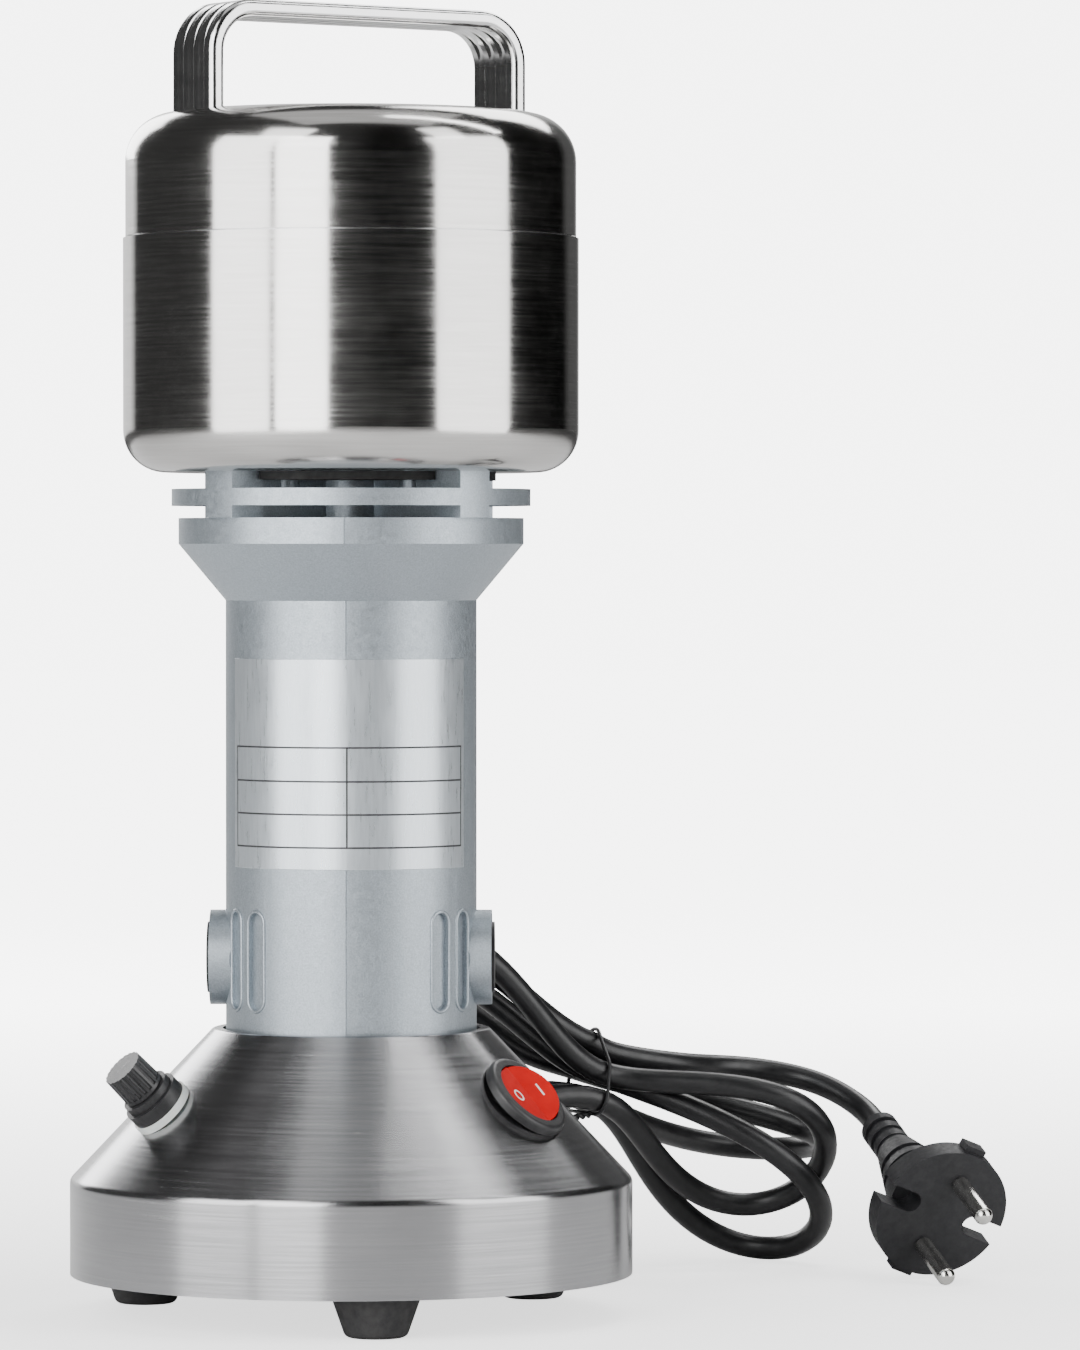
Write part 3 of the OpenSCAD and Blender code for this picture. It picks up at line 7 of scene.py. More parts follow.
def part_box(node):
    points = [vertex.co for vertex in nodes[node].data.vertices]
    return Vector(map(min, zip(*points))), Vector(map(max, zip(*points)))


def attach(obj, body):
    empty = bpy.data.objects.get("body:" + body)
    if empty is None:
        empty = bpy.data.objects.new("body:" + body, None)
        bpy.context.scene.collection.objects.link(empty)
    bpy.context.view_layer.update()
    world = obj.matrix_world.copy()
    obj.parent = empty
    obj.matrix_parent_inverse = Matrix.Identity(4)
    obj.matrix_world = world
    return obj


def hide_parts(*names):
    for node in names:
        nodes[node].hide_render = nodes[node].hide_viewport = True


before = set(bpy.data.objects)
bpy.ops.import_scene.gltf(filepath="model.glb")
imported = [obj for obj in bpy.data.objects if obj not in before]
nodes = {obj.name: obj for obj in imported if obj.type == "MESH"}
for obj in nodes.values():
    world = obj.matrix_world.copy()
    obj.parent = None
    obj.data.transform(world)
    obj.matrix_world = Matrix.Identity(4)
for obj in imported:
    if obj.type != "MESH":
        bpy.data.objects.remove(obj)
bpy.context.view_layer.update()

MM = 0.001


# Helpers that place things
def around(azimuth, distance, z):
    """Point at a distance from the column's axis. The bearing starts at the front and grows to the right."""
    return Vector((distance * math.sin(azimuth), -distance * math.cos(azimuth), z))


def add_object(name, data):
    """New object in the scene for a mesh, a lamp or a camera."""
    obj = bpy.data.objects.new(name, data)
    bpy.context.scene.collection.objects.link(obj)
    return obj


def aim(obj, way):
    """Point a lamp or a camera along the given way, upright."""
    obj.rotation_mode = "QUATERNION"
    obj.rotation_quaternion = way.to_track_quat("-Z", "Y")


def add_mesh(name, bm, *materials):
    """New mesh object with its materials."""
    mesh = bpy.data.meshes.new(name)
    bm.to_mesh(mesh)
    bm.free()
    for material in materials:
        mesh.materials.append(material)
    return add_object(name, mesh)


def add_piece(name, bm, body, *materials):
    """Mesh that is part of the object and rides on a body of the frame."""
    piece = add_mesh(name, bm, *materials)
    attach(piece, body)
    return piece


# Camera: the photograph's eye, level with the collar. The horizon lies above the middle of the picture.
EYE_DISTANCE, EYE_HEIGHT = 1.770, 0.191
EYE_AZIMUTH, EYE_TURN = math.radians(2.0), math.radians(1.52)
PICTURE_PX, FOCAL_PX, HORIZON_PX = 1350.0, 7115.0, 130.0
SENSOR = 36.0
CLIP_NEAR, CLIP_FAR = 0.05, 50


def make_camera():
    data = bpy.data.cameras.new("camera")
    data.sensor_width = SENSOR
    data.lens = FOCAL_PX * SENSOR / PICTURE_PX
    data.clip_start, data.clip_end = CLIP_NEAR, CLIP_FAR
    camera = add_object("camera", data)
    camera.location = around(EYE_AZIMUTH, EYE_DISTANCE, EYE_HEIGHT)
    heading, pitch = EYE_TURN - EYE_AZIMUTH, math.atan(HORIZON_PX / FOCAL_PX)
    level = math.cos(pitch)
    aim(camera, Vector((math.sin(heading) * level, math.cos(heading) * level, -math.sin(pitch))))
    bpy.context.scene.camera = camera


make_camera()

# Materials. Most noise lies within NOISE_SPAN, and colours run over the narrower TINT_SPAN.
NOISE_SPAN, TINT_SPAN, SMUDGE_SPAN = (0.3, 0.7), (0.35, 0.65), (0.35, 0.75)
# Shares: how far gloss strays, what lines and smudges take of its range, and the coarser noises of a grain.
GLOSS_STRAYS, LINE_GLOSS, SMUDGE_GLOSS = 0.15, 0.5, 0.6
MOTTLE_SCALE, SHEEN_SCALE = 0.12, 0.3
# Strengths of the bumps, and the turn that lays highlights across the lines.
GRAIN_BUMP, LINE_BUMP, FOIL_BUMP = 0.35, 0.12, 0.05
QUARTER_TURN = 0.25


class Shading:
    """Short helpers for a node tree, with the place that its textures start from."""

    def __init__(self, tree, place):
        self.tree = tree
        self.place = self.new("ShaderNodeTexCoord").outputs[place]

    def new(self, kind, **settings):
        node = self.tree.nodes.new(kind)
        for key, value in settings.items():
            setattr(node, key, value)
        return node

    def put(self, socket, value):
        """Link an output to the socket, or set a constant on the socket itself."""
        if hasattr(value, "is_output"):
            self.tree.links.new(value, socket)
        else:
            socket.default_value = value

    def math(self, operation, *values):
        node = self.new("ShaderNodeMath", operation=operation)
        for socket, value in zip(node.inputs, values):
            self.put(socket, value)
        return node.outputs[0]

    def span(self, value, start, end):
        """Carry a value from one span of numbers over to another."""
        node = self.new("ShaderNodeMapRange")
        keys = ("Value", "From Min", "From Max", "To Min", "To Max")
        for key, number in zip(keys, (value, *start, *end)):
            self.put(node.inputs[key], number)
        return node.outputs["Result"]

    def axes(self):
        """The place's X, Y and Z."""
        node = self.new("ShaderNodeSeparateXYZ")
        self.put(node.inputs[0], self.place)
        return node.outputs

    def length(self, x, y):
        squares = [self.math("MULTIPLY", value, value) for value in (x, y)]
        return self.math("SQRT", self.math("ADD", *squares))


class Mat(Shading):
    """A node material with the Principled shader."""

    def __init__(self, name, **values):
        self.material = bpy.data.materials.new(name)
        self.material.use_nodes = True
        super().__init__(self.material.node_tree, "Object")
        self.shader = self.tree.nodes["Principled BSDF"]
        for key, value in values.items():
            self.feed(key.replace("_", " "), value)

    def feed(self, name, value):
        self.put(self.shader.inputs[name], value)

    def noise(self, scale, detail=3.0, vector=None, rough=0.55):
        node = self.new("ShaderNodeTexNoise")
        node.inputs["Scale"].default_value = scale
        node.inputs["Detail"].default_value = detail
        node.inputs["Roughness"].default_value = rough
        self.put(node.inputs["Vector"], self.place if vector is None else vector)
        return node.outputs["Fac"]

    def tint(self, value, dark, light, span=TINT_SPAN):
        """Colour that runs from dark to light over a span of the value."""
        node = self.new("ShaderNodeValToRGB")
        for stop, position, color in zip(node.color_ramp.elements, span, (dark, light)):
            stop.position, stop.color = position, (*color, 1)
        self.put(node.inputs["Fac"], value)
        self.feed("Base Color", node.outputs["Color"])

    def gloss(self, value, rough):
        """Roughness that strays a little to both sides with the value."""
        strays = (rough * (1 - GLOSS_STRAYS), min(rough * (1 + GLOSS_STRAYS), 1.0))
        self.feed("Roughness", self.span(value, NOISE_SPAN, strays))

    def bump(self, height, strength, depth):
        node = self.new("ShaderNodeBump")
        node.inputs["Strength"].default_value = strength
        node.inputs["Distance"].default_value = depth
        self.put(node.inputs["Height"], height)
        self.feed("Normal", node.outputs["Normal"])

    def turned(self, fine, sweep):
        """Vector that makes noise run in rings round the Z axis, as lathe or polishing lines do."""
        x, y, z = self.axes()
        node = self.new("ShaderNodeCombineXYZ")
        ways = ((self.math("ARCTAN2", y, x), sweep), (self.length(x, y), fine), (z, fine))
        for socket, (way, scale) in zip(node.inputs, ways):
            self.put(socket, self.math("MULTIPLY", way, scale))
        return node.outputs[0]


def grain(name, dark, light, rough, scale, depth, **values):
    """Moulded or cast surface: mottled colour, uneven gloss and a fine bump."""
    mat = Mat(name, **values)
    mat.tint(mat.noise(scale * MOTTLE_SCALE), dark, light)
    mat.gloss(mat.noise(scale * SHEEN_SCALE), rough)
    mat.bump(mat.noise(scale, detail=2.0), GRAIN_BUMP, depth)
    return mat.material


def flake_paint(name, dark, light, rough, scale, sheen, depth):
    """Silver coat: its colour varies flake by flake and it feels faintly sandy."""
    mat = Mat(name, Metallic=0.8)
    flakes = mat.noise(scale, detail=2.0)
    mat.tint(flakes, dark, light, NOISE_SPAN)
    mat.gloss(mat.noise(sheen), rough)
    mat.bump(flakes, GRAIN_BUMP, depth)
    return mat.material


def turned_metal(name, dark, light, gloss, fine, sweep, depth, smudge, anisotropy=0.0):
    """Metal with lines round its axis and faint handling marks."""
    low, high = gloss
    mat = Mat(name, Metallic=1.0, Anisotropic=anisotropy)
    lines = mat.noise(1.0, detail=4.0, vector=mat.turned(fine, sweep), rough=0.65)
    marks = mat.noise(smudge, detail=4.0)
    mat.tint(lines, dark, light)
    lined = mat.span(lines, NOISE_SPAN, (low, low + (high - low) * LINE_GLOSS))
    smudged = mat.span(marks, SMUDGE_SPAN, (0.0, (high - low) * SMUDGE_GLOSS))
    mat.feed("Roughness", mat.math("ADD", lined, smudged))
    mat.bump(lines, LINE_BUMP, depth)
    if anisotropy:
        mat.feed("Tangent", mat.new("ShaderNodeTangent", direction_type="RADIAL", axis="Z").outputs[0])
        mat.feed("Anisotropic Rotation", QUARTER_TURN)
    return mat.material


def foil_material(name, dark, light, gloss, fine, sweep, depth):
    """Printed foil with faint upright streaks."""
    mat = Mat(name, Metallic=0.75)
    lines = mat.noise(1.0, vector=mat.turned(fine, sweep), rough=0.6)
    mat.tint(lines, dark, light)
    mat.feed("Roughness", mat.span(lines, NOISE_SPAN, gloss))
    mat.bump(lines, FOIL_BUMP, depth)
    return mat.material


bowl_steel = turned_metal("bowl_steel", (0.58, 0.57, 0.555), (0.66, 0.65, 0.635), gloss=(0.10, 0.20),
                          fine=1400, sweep=2.2, depth=0.01 * MM, smudge=45, anisotropy=0.6)
base_steel = turned_metal("base_steel", (0.39, 0.39, 0.40), (0.48, 0.48, 0.49), gloss=(0.18, 0.28),
                          fine=1700, sweep=1.6, depth=0.005 * MM, smudge=30, anisotropy=0.75)
chrome = turned_metal("handle_chrome", (0.76, 0.76, 0.76), (0.80, 0.80, 0.80), gloss=(0.12, 0.22),
                      fine=300, sweep=3.0, depth=0.01 * MM, smudge=60)
alloy = turned_metal("machined_alloy", (0.70, 0.70, 0.71), (0.80, 0.80, 0.80), gloss=(0.22, 0.36),
                     fine=2600, sweep=2.0, depth=0.03 * MM, smudge=40, anisotropy=0.4)
plain_steel = turned_metal("plain_steel", (0.42, 0.43, 0.44), (0.55, 0.55, 0.56), gloss=(0.25, 0.40),
                           fine=1500, sweep=4.0, depth=0.02 * MM, smudge=90)
blade_steel = turned_metal("blade_steel", (0.62, 0.63, 0.64), (0.74, 0.74, 0.75), gloss=(0.16, 0.30),
                           fine=900, sweep=30.0, depth=0.02 * MM, smudge=70)
nickel = turned_metal("pin_nickel", (0.70, 0.69, 0.66), (0.80, 0.79, 0.76), gloss=(0.14, 0.26),
                      fine=500, sweep=9.0, depth=0.01 * MM, smudge=120)
brass = turned_metal("holder_brass", (0.60, 0.42, 0.18), (0.74, 0.55, 0.26), gloss=(0.25, 0.40),
                     fine=900, sweep=8.0, depth=0.02 * MM, smudge=80)
paint = flake_paint("silver_paint", (0.338, 0.382, 0.418), (0.458, 0.507, 0.548),
                    rough=0.42, scale=2400, sheen=700, depth=0.09 * MM)
label_foil = foil_material("label_foil", (0.62, 0.67, 0.71), (0.69, 0.74, 0.78), gloss=(0.26, 0.34),
                           fine=120, sweep=40.0, depth=0.02 * MM)
iron = grain("core_iron", (0.10, 0.11, 0.12), (0.20, 0.21, 0.22),
             rough=0.5, scale=1600, depth=0.05 * MM, Metallic=0.8)
copper = grain("copper_wire", (0.36, 0.13, 0.05), (0.58, 0.24, 0.10),
               rough=0.35, scale=2600, depth=0.1 * MM, Metallic=0.9)
black_plastic = grain("black_plastic", (0.012, 0.012, 0.013), (0.020, 0.020, 0.021),
                      rough=0.42, scale=2600, depth=0.04 * MM)
plug_plastic = grain("plug_plastic", (0.008, 0.008, 0.010), (0.014, 0.014, 0.016),
                     rough=0.55, scale=3200, depth=0.06 * MM)
switch_black = grain("switch_black", (0.016, 0.016, 0.017), (0.026, 0.026, 0.027),
                     rough=0.40, scale=2400, depth=0.03 * MM)
knob_black = grain("fuse_knob", (0.011, 0.011, 0.012), (0.019, 0.019, 0.020),
                   rough=0.30, scale=2800, depth=0.03 * MM)
cord_black = grain("cord_sheath", (0.007, 0.007, 0.008), (0.013, 0.013, 0.014),
                   rough=0.36, scale=1500, depth=0.04 * MM)
seal_and_shade_black = grain("seal_rubber", (0.012, 0.012, 0.012), (0.022, 0.022, 0.021),
                   rough=0.70, scale=2000, depth=0.06 * MM)
foot_black = grain("foot_rubber", (0.018, 0.018, 0.019), (0.032, 0.031, 0.031),
                   rough=0.75, scale=1800, depth=0.08 * MM)
carbon = grain("carbon", (0.03, 0.03, 0.03), (0.06, 0.06, 0.06),
               rough=0.6, scale=2600, depth=0.04 * MM)
nylon = grain("white_nylon", (0.72, 0.72, 0.68), (0.82, 0.82, 0.78),
              rough=0.45, scale=2400, depth=0.03 * MM, Subsurface_Weight=0.1)
red_plastic = grain("rocker_red", (0.47, 0.0008, 0.0006), (0.55, 0.0012, 0.0010),
                    rough=0.36, scale=1800, depth=0.01 * MM, Specular_IOR_Level=0.10)
white_ink = grain("white_ink", (0.80, 0.78, 0.76), (0.90, 0.88, 0.86),
                  rough=0.4, scale=2600, depth=0.01 * MM)
label_ink = grain("label_ink", (0.02, 0.02, 0.022), (0.04, 0.04, 0.042),
                  rough=0.5, scale=2600, depth=0.01 * MM)
glass = grain("fuse_glass", (0.90, 0.93, 0.93), (0.96, 0.98, 0.98),
              rough=0.05, scale=900, depth=0.005 * MM, Transmission_Weight=0.9)


def dress(material, *names):
    """Give nodes of the frame a material in place of their plain one."""
    for name in names:
        slots = nodes[name].data.materials
        slots.clear()
        slots.append(material)


dress(bowl_steel, "bowl", "lid_shell")
dress(base_steel, "base_cover")
dress(chrome, "lid_handle")
dress(alloy, "lid_liner", "bowl_mouth_ring")
# Black rubber of the seals. On the bowl gasket it is also painted shade: a black disc that fills the shadowed
# gap under the bowl.
dress(seal_and_shade_black, "lid_seal", "bowl_gasket", "shaft_seal")
dress(plain_steel, "handle_screws", "bowl_screws", "neck_screws", "column_screws", "plate_screws",
      "foot_screws", "base_plate", "blade_sleeves", "blade_nut", "motor_shaft", "bearing_inner_rings",
      "bearing_outer_rings", "bearing_balls", "brush_springs")
dress(blade_steel, "lower_blade", "upper_blade")
dress(iron, "armature_core", "stator_core")
dress(copper, "armature_winding", "field_coils", "commutator")
dress(black_plastic, "cooling_fan", "brush_caps", "fuse_body", "fuse_nut", "cord_gland")
dress(plug_plastic, "plug_body")
dress(brass, "brush_holders", "switch_tabs")
dress(carbon, "carbon_brushes")
dress(paint, "housing_left", "housing_right", "neck_bracket")
dress(foot_black, "foot_1", "foot_2", "foot_3")
dress(switch_black, "switch_body")
dress(red_plastic, "switch_rocker")
dress(nylon, "fuse_washer")
dress(knob_black, "fuse_cap")
dress(glass, "fuse_link")
dress(nickel, "plug_pins")

# Cord in millimetres, as in the part's source: loops that pinch together at the tie, each with its own form.
CORD_D, CORD_SIDES = 6.2, 16
HANK_AT, HANK_YAW = Vector((58, 101, 49.2)), math.radians(27)
HANK_SLOPE, FALL_RIGHT, FALL_LEFT = 0.35, 36, 40
STRAND_STEP, STRAND_RISE = 7.2, 3.7
PINCH_SOFT, END_ROUND = 0.4, 0.05
RIGHT = dict(reach=(70, 67, 62), spread=(44, 45, 43), droop=(2, -22, -5.5),
             lean=(0, 8, 6), roll=(84, 65, 50))
LEFT = dict(reach=(76, 72, 77), spread=(44, 44, 44), droop=(-8, 5, -8.5),
            lean=(-10, -1, -3.5), roll=(0, 0, 0))
TURNS = len(RIGHT["reach"])
HALF_TURN = 0.5
LAST_CROSS = TURNS - HALF_TURN
LOOP_RINGS, LOOP_FINER, LEAD_STEPS = 30, 4, 8

# Its free stretches, and the straight starts and ends of them.
GLAND_TIP = Vector((0, 95, 22))
LEAD_IN = [(-6, 118, 24), (-10, 130, 34), (-10, 136, 48), (-4, 135, 63),
           (6, 126, 74), (16, 114, 76), (28, 104, 68)]
LEAD_OUT = [(84, 118, 53), (91, 129, 52), (102, 135, 51), (114, 136, 49), (124, 132, 46)]
PLUG_AT, PLUG_L = Vector((150.5, 75, 17.4)), 48
PLUG_PITCH, PLUG_YAW = math.radians(24), math.radians(-70)
PLUG_AXIS = Vector((math.cos(PLUG_PITCH) * math.cos(PLUG_YAW), math.cos(PLUG_PITCH) * math.sin(PLUG_YAW),
                    -math.sin(PLUG_PITCH)))
GLAND_LEAD, PLUG_LEAD = 1.5 * CORD_D, 1.5 * CORD_D
HANK_LEAD_IN, HANK_LEAD_OUT, HANK_TAIL = 1.6 * CORD_D, 0.9 * CORD_D, 0.25 * CORD_D


def ease(x):
    """Smooth step from 0 to 1."""
    x = min(max(x, 0.0), 1.0)
    return x * x * x * (x * (6 * x - 15) + 10)


def hank_point(t):
    """Point of the hank at turn t: right loop in the first half of a turn, left loop in the second."""
    k = min(int(t), TURNS - 1)
    side = RIGHT if t - math.floor(t) < HALF_TURN else LEFT
    reach, spread, droop, lean, roll = [side[key][k] for key in ("reach", "spread", "droop", "lean", "roll")]
    across, along = math.sin(math.radians(roll)), math.cos(math.radians(roll))
    a = 2 * math.pi * t
    s, c = math.sin(a), math.cos(a)
    opened = (math.hypot(s, PINCH_SOFT) - PINCH_SOFT) / (math.hypot(1, PINCH_SOFT) - PINCH_SOFT)
    over = ease((t - LAST_CROSS) / HALF_TURN)
    u = reach * (s - END_ROUND * math.sin(3 * a)) / (1 + END_ROUND)
    v = c * (STRAND_RISE + spread * opened * along) + droop * opened + 2 * STRAND_RISE * over
    w = STRAND_STEP * (min(t, LAST_CROSS) - 1 - 2 * over) + lean * opened + c * spread * opened * across
    fall = FALL_RIGHT if u > 0 else FALL_LEFT
    drop = math.tanh(HANK_SLOPE * u / fall)
    slope = -HANK_SLOPE * (1 - drop * drop)
    ahead = Vector((math.cos(HANK_YAW), math.sin(HANK_YAW), 0))
    up = Vector((-slope * ahead.x, -slope * ahead.y, 1)).normalized()
    front = Vector((math.sin(HANK_YAW), -math.cos(HANK_YAW), 0))
    return HANK_AT + u * ahead + Vector((0, 0, -fall * drop)) + v * up + w * front


def smooth(points, steps):
    """Smooth stretch that starts at the first point and ends at the last."""
    p = [Vector(q) for q in points]
    q = [2 * p[0] - p[1]] + p + [2 * p[-1] - p[-2]]
    out = []
    for i in range(len(p) - 1):
        for k in range(steps):
            t = k / steps
            shares = ((1 - t) ** 3, 3 * t ** 3 - 6 * t * t + 4, -3 * t ** 3 + 3 * t * t + 3 * t + 1, t ** 3)
            out.append(sum((q[i + j] * share for j, share in enumerate(shares)), Vector()) / 6)
    return out + [p[-1]]


def cord_route():
    """The whole cord in metres, from the strain relief to the plug."""
    rings = [hank_point(i / LOOP_RINGS) for i in range(TURNS * LOOP_RINGS + 1)]
    way_in = (rings[1] - rings[0]).normalized()
    way_out = (rings[-1] - rings[-2]).normalized()
    start = rings[0] - CORD_D * way_in
    end = rings[-1] + HANK_TAIL * way_out
    back = PLUG_AT - PLUG_L * PLUG_AXIS
    from_gland = [GLAND_TIP, GLAND_TIP + Vector((0, GLAND_LEAD, 0))]
    to_plug = [back - PLUG_LEAD * PLUG_AXIS, back]
    lead_in = smooth(from_gland + LEAD_IN + [start - HANK_LEAD_IN * way_in, start], LEAD_STEPS)
    lead_out = smooth([end, end + HANK_LEAD_OUT * way_out] + LEAD_OUT + to_plug, LEAD_STEPS)
    fine = LOOP_FINER * LOOP_RINGS
    hank = [hank_point(i / fine) for i in range(TURNS * fine + 1)]
    return [p * MM for p in lead_in + hank + lead_out]


def tube(bm, route, radius, sides, closed=False):
    """Round tube along the route, its rings turned as little as possible from one to the next."""
    count = len(route)
    turns = [2 * math.pi * k / sides for k in range(sides)]
    side = Vector((1, 0, 0))
    rings = []
    for i, place in enumerate(route):
        before = route[i - 1] if closed else route[max(i - 1, 0)]
        after = route[(i + 1) % count] if closed else route[min(i + 1, count - 1)]
        ahead = (after - before).normalized()
        side = (side - side.dot(ahead) * ahead).normalized()
        up = ahead.cross(side)
        ring = [place + radius * (math.cos(a) * side + math.sin(a) * up) for a in turns]
        rings.append([bm.verts.new(point) for point in ring])
    following = rings[1:] + rings[:1] if closed else rings[1:]
    for a, b in zip(rings, following):
        for k in range(sides):
            n = (k + 1) % sides
            bm.faces.new((a[k], a[n], b[n], b[k])).smooth = True
    if not closed:
        bm.faces.new(rings[0][::-1])
        bm.faces.new(rings[-1])


# Twist tie round the pinched strands, in millimetres and in the place of the part's tie.
TIE_WIRE_R, TIE_SLIP, TIE_SIDES = 0.5, 0.3, 10
TIE_TAIL, TIE_TWISTS = 12.0, 3
TIE_TILT, TIE_SWING = math.radians(25), math.radians(-74)
TIE_FOOT = 1.2 * STRAND_STEP
# Middles of the outer strands, to the front and up.
STRANDS = [(-STRAND_STEP / 2, -STRAND_RISE), (1.5 * STRAND_STEP, -STRAND_RISE), (STRAND_STEP, STRAND_RISE),
           (-STRAND_STEP / 2, 3 * STRAND_RISE), (-STRAND_STEP, STRAND_RISE)]


def wrap(corners, reach, steps=6):
    """Outline of a band pulled round a convex set of corners, with an arc of the given reach at each."""
    points = []
    for before, here, after in zip(corners[-1:] + corners[:-1], corners, corners[1:] + corners[:1]):
        start, end = [math.atan2(p[0] - q[0], q[1] - p[1]) for p, q in ((before, here), (here, after))]
        sweep = (end - start) % (2 * math.pi)
        turns = [start + sweep * k / steps for k in range(steps + 1)]
        points += [(here[0] + reach * math.cos(a), here[1] + reach * math.sin(a)) for a in turns]
    return points


def helix(radius, length, twists, start, steps=16):
    """Points of a helix up the Z axis, with a number of steps to each twist."""
    count = steps * twists
    turns = [start + 2 * math.pi * twists * k / count for k in range(count + 1)]
    heights = [length * k / count for k in range(count + 1)]
    return [Vector((radius * math.cos(a), radius * math.sin(a), z)) for a, z in zip(turns, heights)]


def make_tie():
    """Wire loop across the hank and its two ends, twisted together."""
    lean = Matrix.Rotation(HANK_YAW, 4, "Z") @ Matrix.Rotation(math.atan(HANK_SLOPE), 4, "Y")
    upright = Matrix.Rotation(math.pi / 2, 4, "X")
    place = Matrix.Scale(MM, 4) @ Matrix.Translation(HANK_AT) @ lean @ upright
    reach = CORD_D / 2 + TIE_SLIP + TIE_WIRE_R
    swing = Matrix.Rotation(TIE_SWING, 4, "Y") @ Matrix.Rotation(TIE_TILT, 4, "X")
    tail = place @ Matrix.Translation((0, -STRAND_RISE - reach, TIE_FOOT)) @ swing
    bm = bmesh.new()
    loop = [place @ Vector((0, up, front)) for front, up in wrap(STRANDS, reach)]
    tube(bm, loop, TIE_WIRE_R * MM, TIE_SIDES, closed=True)
    for start in (0, math.pi):
        end = [tail @ point for point in helix(TIE_WIRE_R, TIE_TAIL, TIE_TWISTS, start)]
        tube(bm, end, TIE_WIRE_R * MM, TIE_SIDES)
    tie = add_piece("twist_tie", bm, "stand", black_plastic)
    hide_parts("cord_tie")
    return tie


def make_cord(tie):
    """One tube from the strain relief to the plug; the tie that it is given is not used."""
    route = cord_route()
    bm = bmesh.new()
    tube(bm, route, CORD_D * MM / 2, CORD_SIDES)
    cord = add_piece("mains_cord", bm, "stand", cord_black)
    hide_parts("cord_lead_in", "cord_hank", "cord_lead_out")


make_cord(make_tie())

# Label round the front of the column: a foil with a narrow hem and the rules of an empty table.
COLUMN_R = 31.2 * MM
LABEL_OUT, LABEL_THICK = 0.10 * MM, 0.08 * MM
LABEL_HEIGHTS = (111.5 * MM, 163.0 * MM)
LABEL_ANGLES = (math.radians(-64.5), math.radians(64.5))
LABEL_FACETS = [math.radians(a) for a in range(-60, 61, 3) if a]
TABLE_ROWS = [z * MM for z in (116.9, 125.0, 133.1, 141.4)]
TABLE_COLUMNS = [math.radians(a) for a in (-61.5, 0.0, 61.5)]
RULE_W, HEM_W = 0.45 * MM, 0.12 * MM


def grid_lines(ends, rules, width, hem, others=()):
    """Sorted lines of a grid: its ends with a hem inside each, the edges of every rule, and others."""
    low, high = ends
    lines = [low, low + hem, high - hem, high, *others]
    for rule in rules:
        lines += [rule - width / 2, rule + width / 2]
    return sorted(lines)


def middles(values):
    return [(a + b) / 2 for a, b in zip(values, values[1:])]


def near(value, lines, reach):
    return any(abs(value - line) < reach for line in lines)


def within(value, lines, reach):
    return lines[0] - reach <= value <= lines[-1] + reach


def make_label():
    """Plain foil sticker with an empty ruled table."""
    rule_a, hem_a = RULE_W / COLUMN_R, HEM_W / COLUMN_R
    heights = grid_lines(LABEL_HEIGHTS, TABLE_ROWS, RULE_W, HEM_W)
    angles = grid_lines(LABEL_ANGLES, TABLE_COLUMNS, rule_a, hem_a, LABEL_FACETS)
    bm = bmesh.new()
    grid = [[bm.verts.new(around(a, COLUMN_R + LABEL_OUT, z)) for a in angles] for z in heights]
    for lower, upper, z in zip(grid, grid[1:], middles(heights)):
        for j, a in enumerate(middles(angles)):
            face = bm.faces.new((lower[j], lower[j + 1], upper[j + 1], upper[j]))
            face.smooth = True
            inside = within(a, TABLE_COLUMNS, rule_a) and within(z, TABLE_ROWS, RULE_W)
            on_rule = near(z, TABLE_ROWS, RULE_W / 2) or near(a, TABLE_COLUMNS, rule_a / 2)
            face.material_index = 1 if inside and on_rule else 0
    label = add_piece("column_label", bm, "stand", label_foil, label_ink)
    thick = label.modifiers.new("thickness", "SOLIDIFY")
    thick.thickness = LABEL_THICK
    thick.offset = -1


make_label()

# Recessed slots of the column, as in the part's source, and the lips round them.
SLOT_W, SLOT_H = 5.6 * MM, 24.3 * MM
SLOT_ANGLES = (46.8, 63.4, 116.6, 133.2)
RIM_R, RIM_OUT, RIM_SIDES = 0.45 * MM, 0.2 * MM, 10


def slot_edge(grow, steps=12):
    """A slot's outline across and up from its middle: two round ends joined by straight sides."""
    half, straight = SLOT_W / 2 + grow, (SLOT_H - SLOT_W) / 2
    turns = [math.pi * k / steps for k in range(steps + 1)]
    top = [(half * math.cos(a), straight + half * math.sin(a)) for a in turns]
    return top + [(-u, -v) for u, v in top]


def make_slot_rims():
    """Raised lip round each slot, half sunk in the column's wall, level with the brush caps."""
    low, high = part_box("brush_caps")
    middle = (low[2] + high[2]) / 2
    bm = bmesh.new()
    for angle in [side * a for side in (-1, 1) for a in SLOT_ANGLES]:
        turn = Matrix.Rotation(math.radians(angle), 4, "Z")
        lip = [(u, -math.sqrt(COLUMN_R ** 2 - u * u), middle + v) for u, v in slot_edge(RIM_OUT)]
        tube(bm, [turn @ Vector(p) for p in lip], RIM_R, RIM_SIDES, closed=True)
    add_piece("slot_rims", bm, "stand", paint)


make_slot_rims()

# Switch on the cone, as in the part's source.
BASE_R, MOUTH_R, CONE_H, Z_EDGE = 70.0 * MM, 34.4 * MM, 37.5 * MM, 33.5 * MM
CONE_LEN = math.hypot(BASE_R - MOUTH_R, CONE_H)
CONE_NR, CONE_NZ = CONE_H / CONE_LEN, (BASE_R - MOUTH_R) / CONE_LEN
SWITCH_AZ, SWITCH_UP = math.radians(60), 29.5 * MM
ROCKER_PIVOT, ROCKER_CROWN, ROCK_A = 1.0 * MM, 1.1 * MM, math.radians(9)
# Marks of the rocker, measured from its crease.
MARK_OUT = 4.3 * MM
OFF_OUTER, OFF_INNER, OFF_SQUEEZE = 1.75 * MM, 1.25 * MM, 0.8
OFF_LOW, OFF_HIGH = -0.05 * MM, 0.07 * MM
ON_SIZE = (0.55 * MM, 3.6 * MM, 0.14 * MM)
ON_BEVEL = 0.3 * min(ON_SIZE)


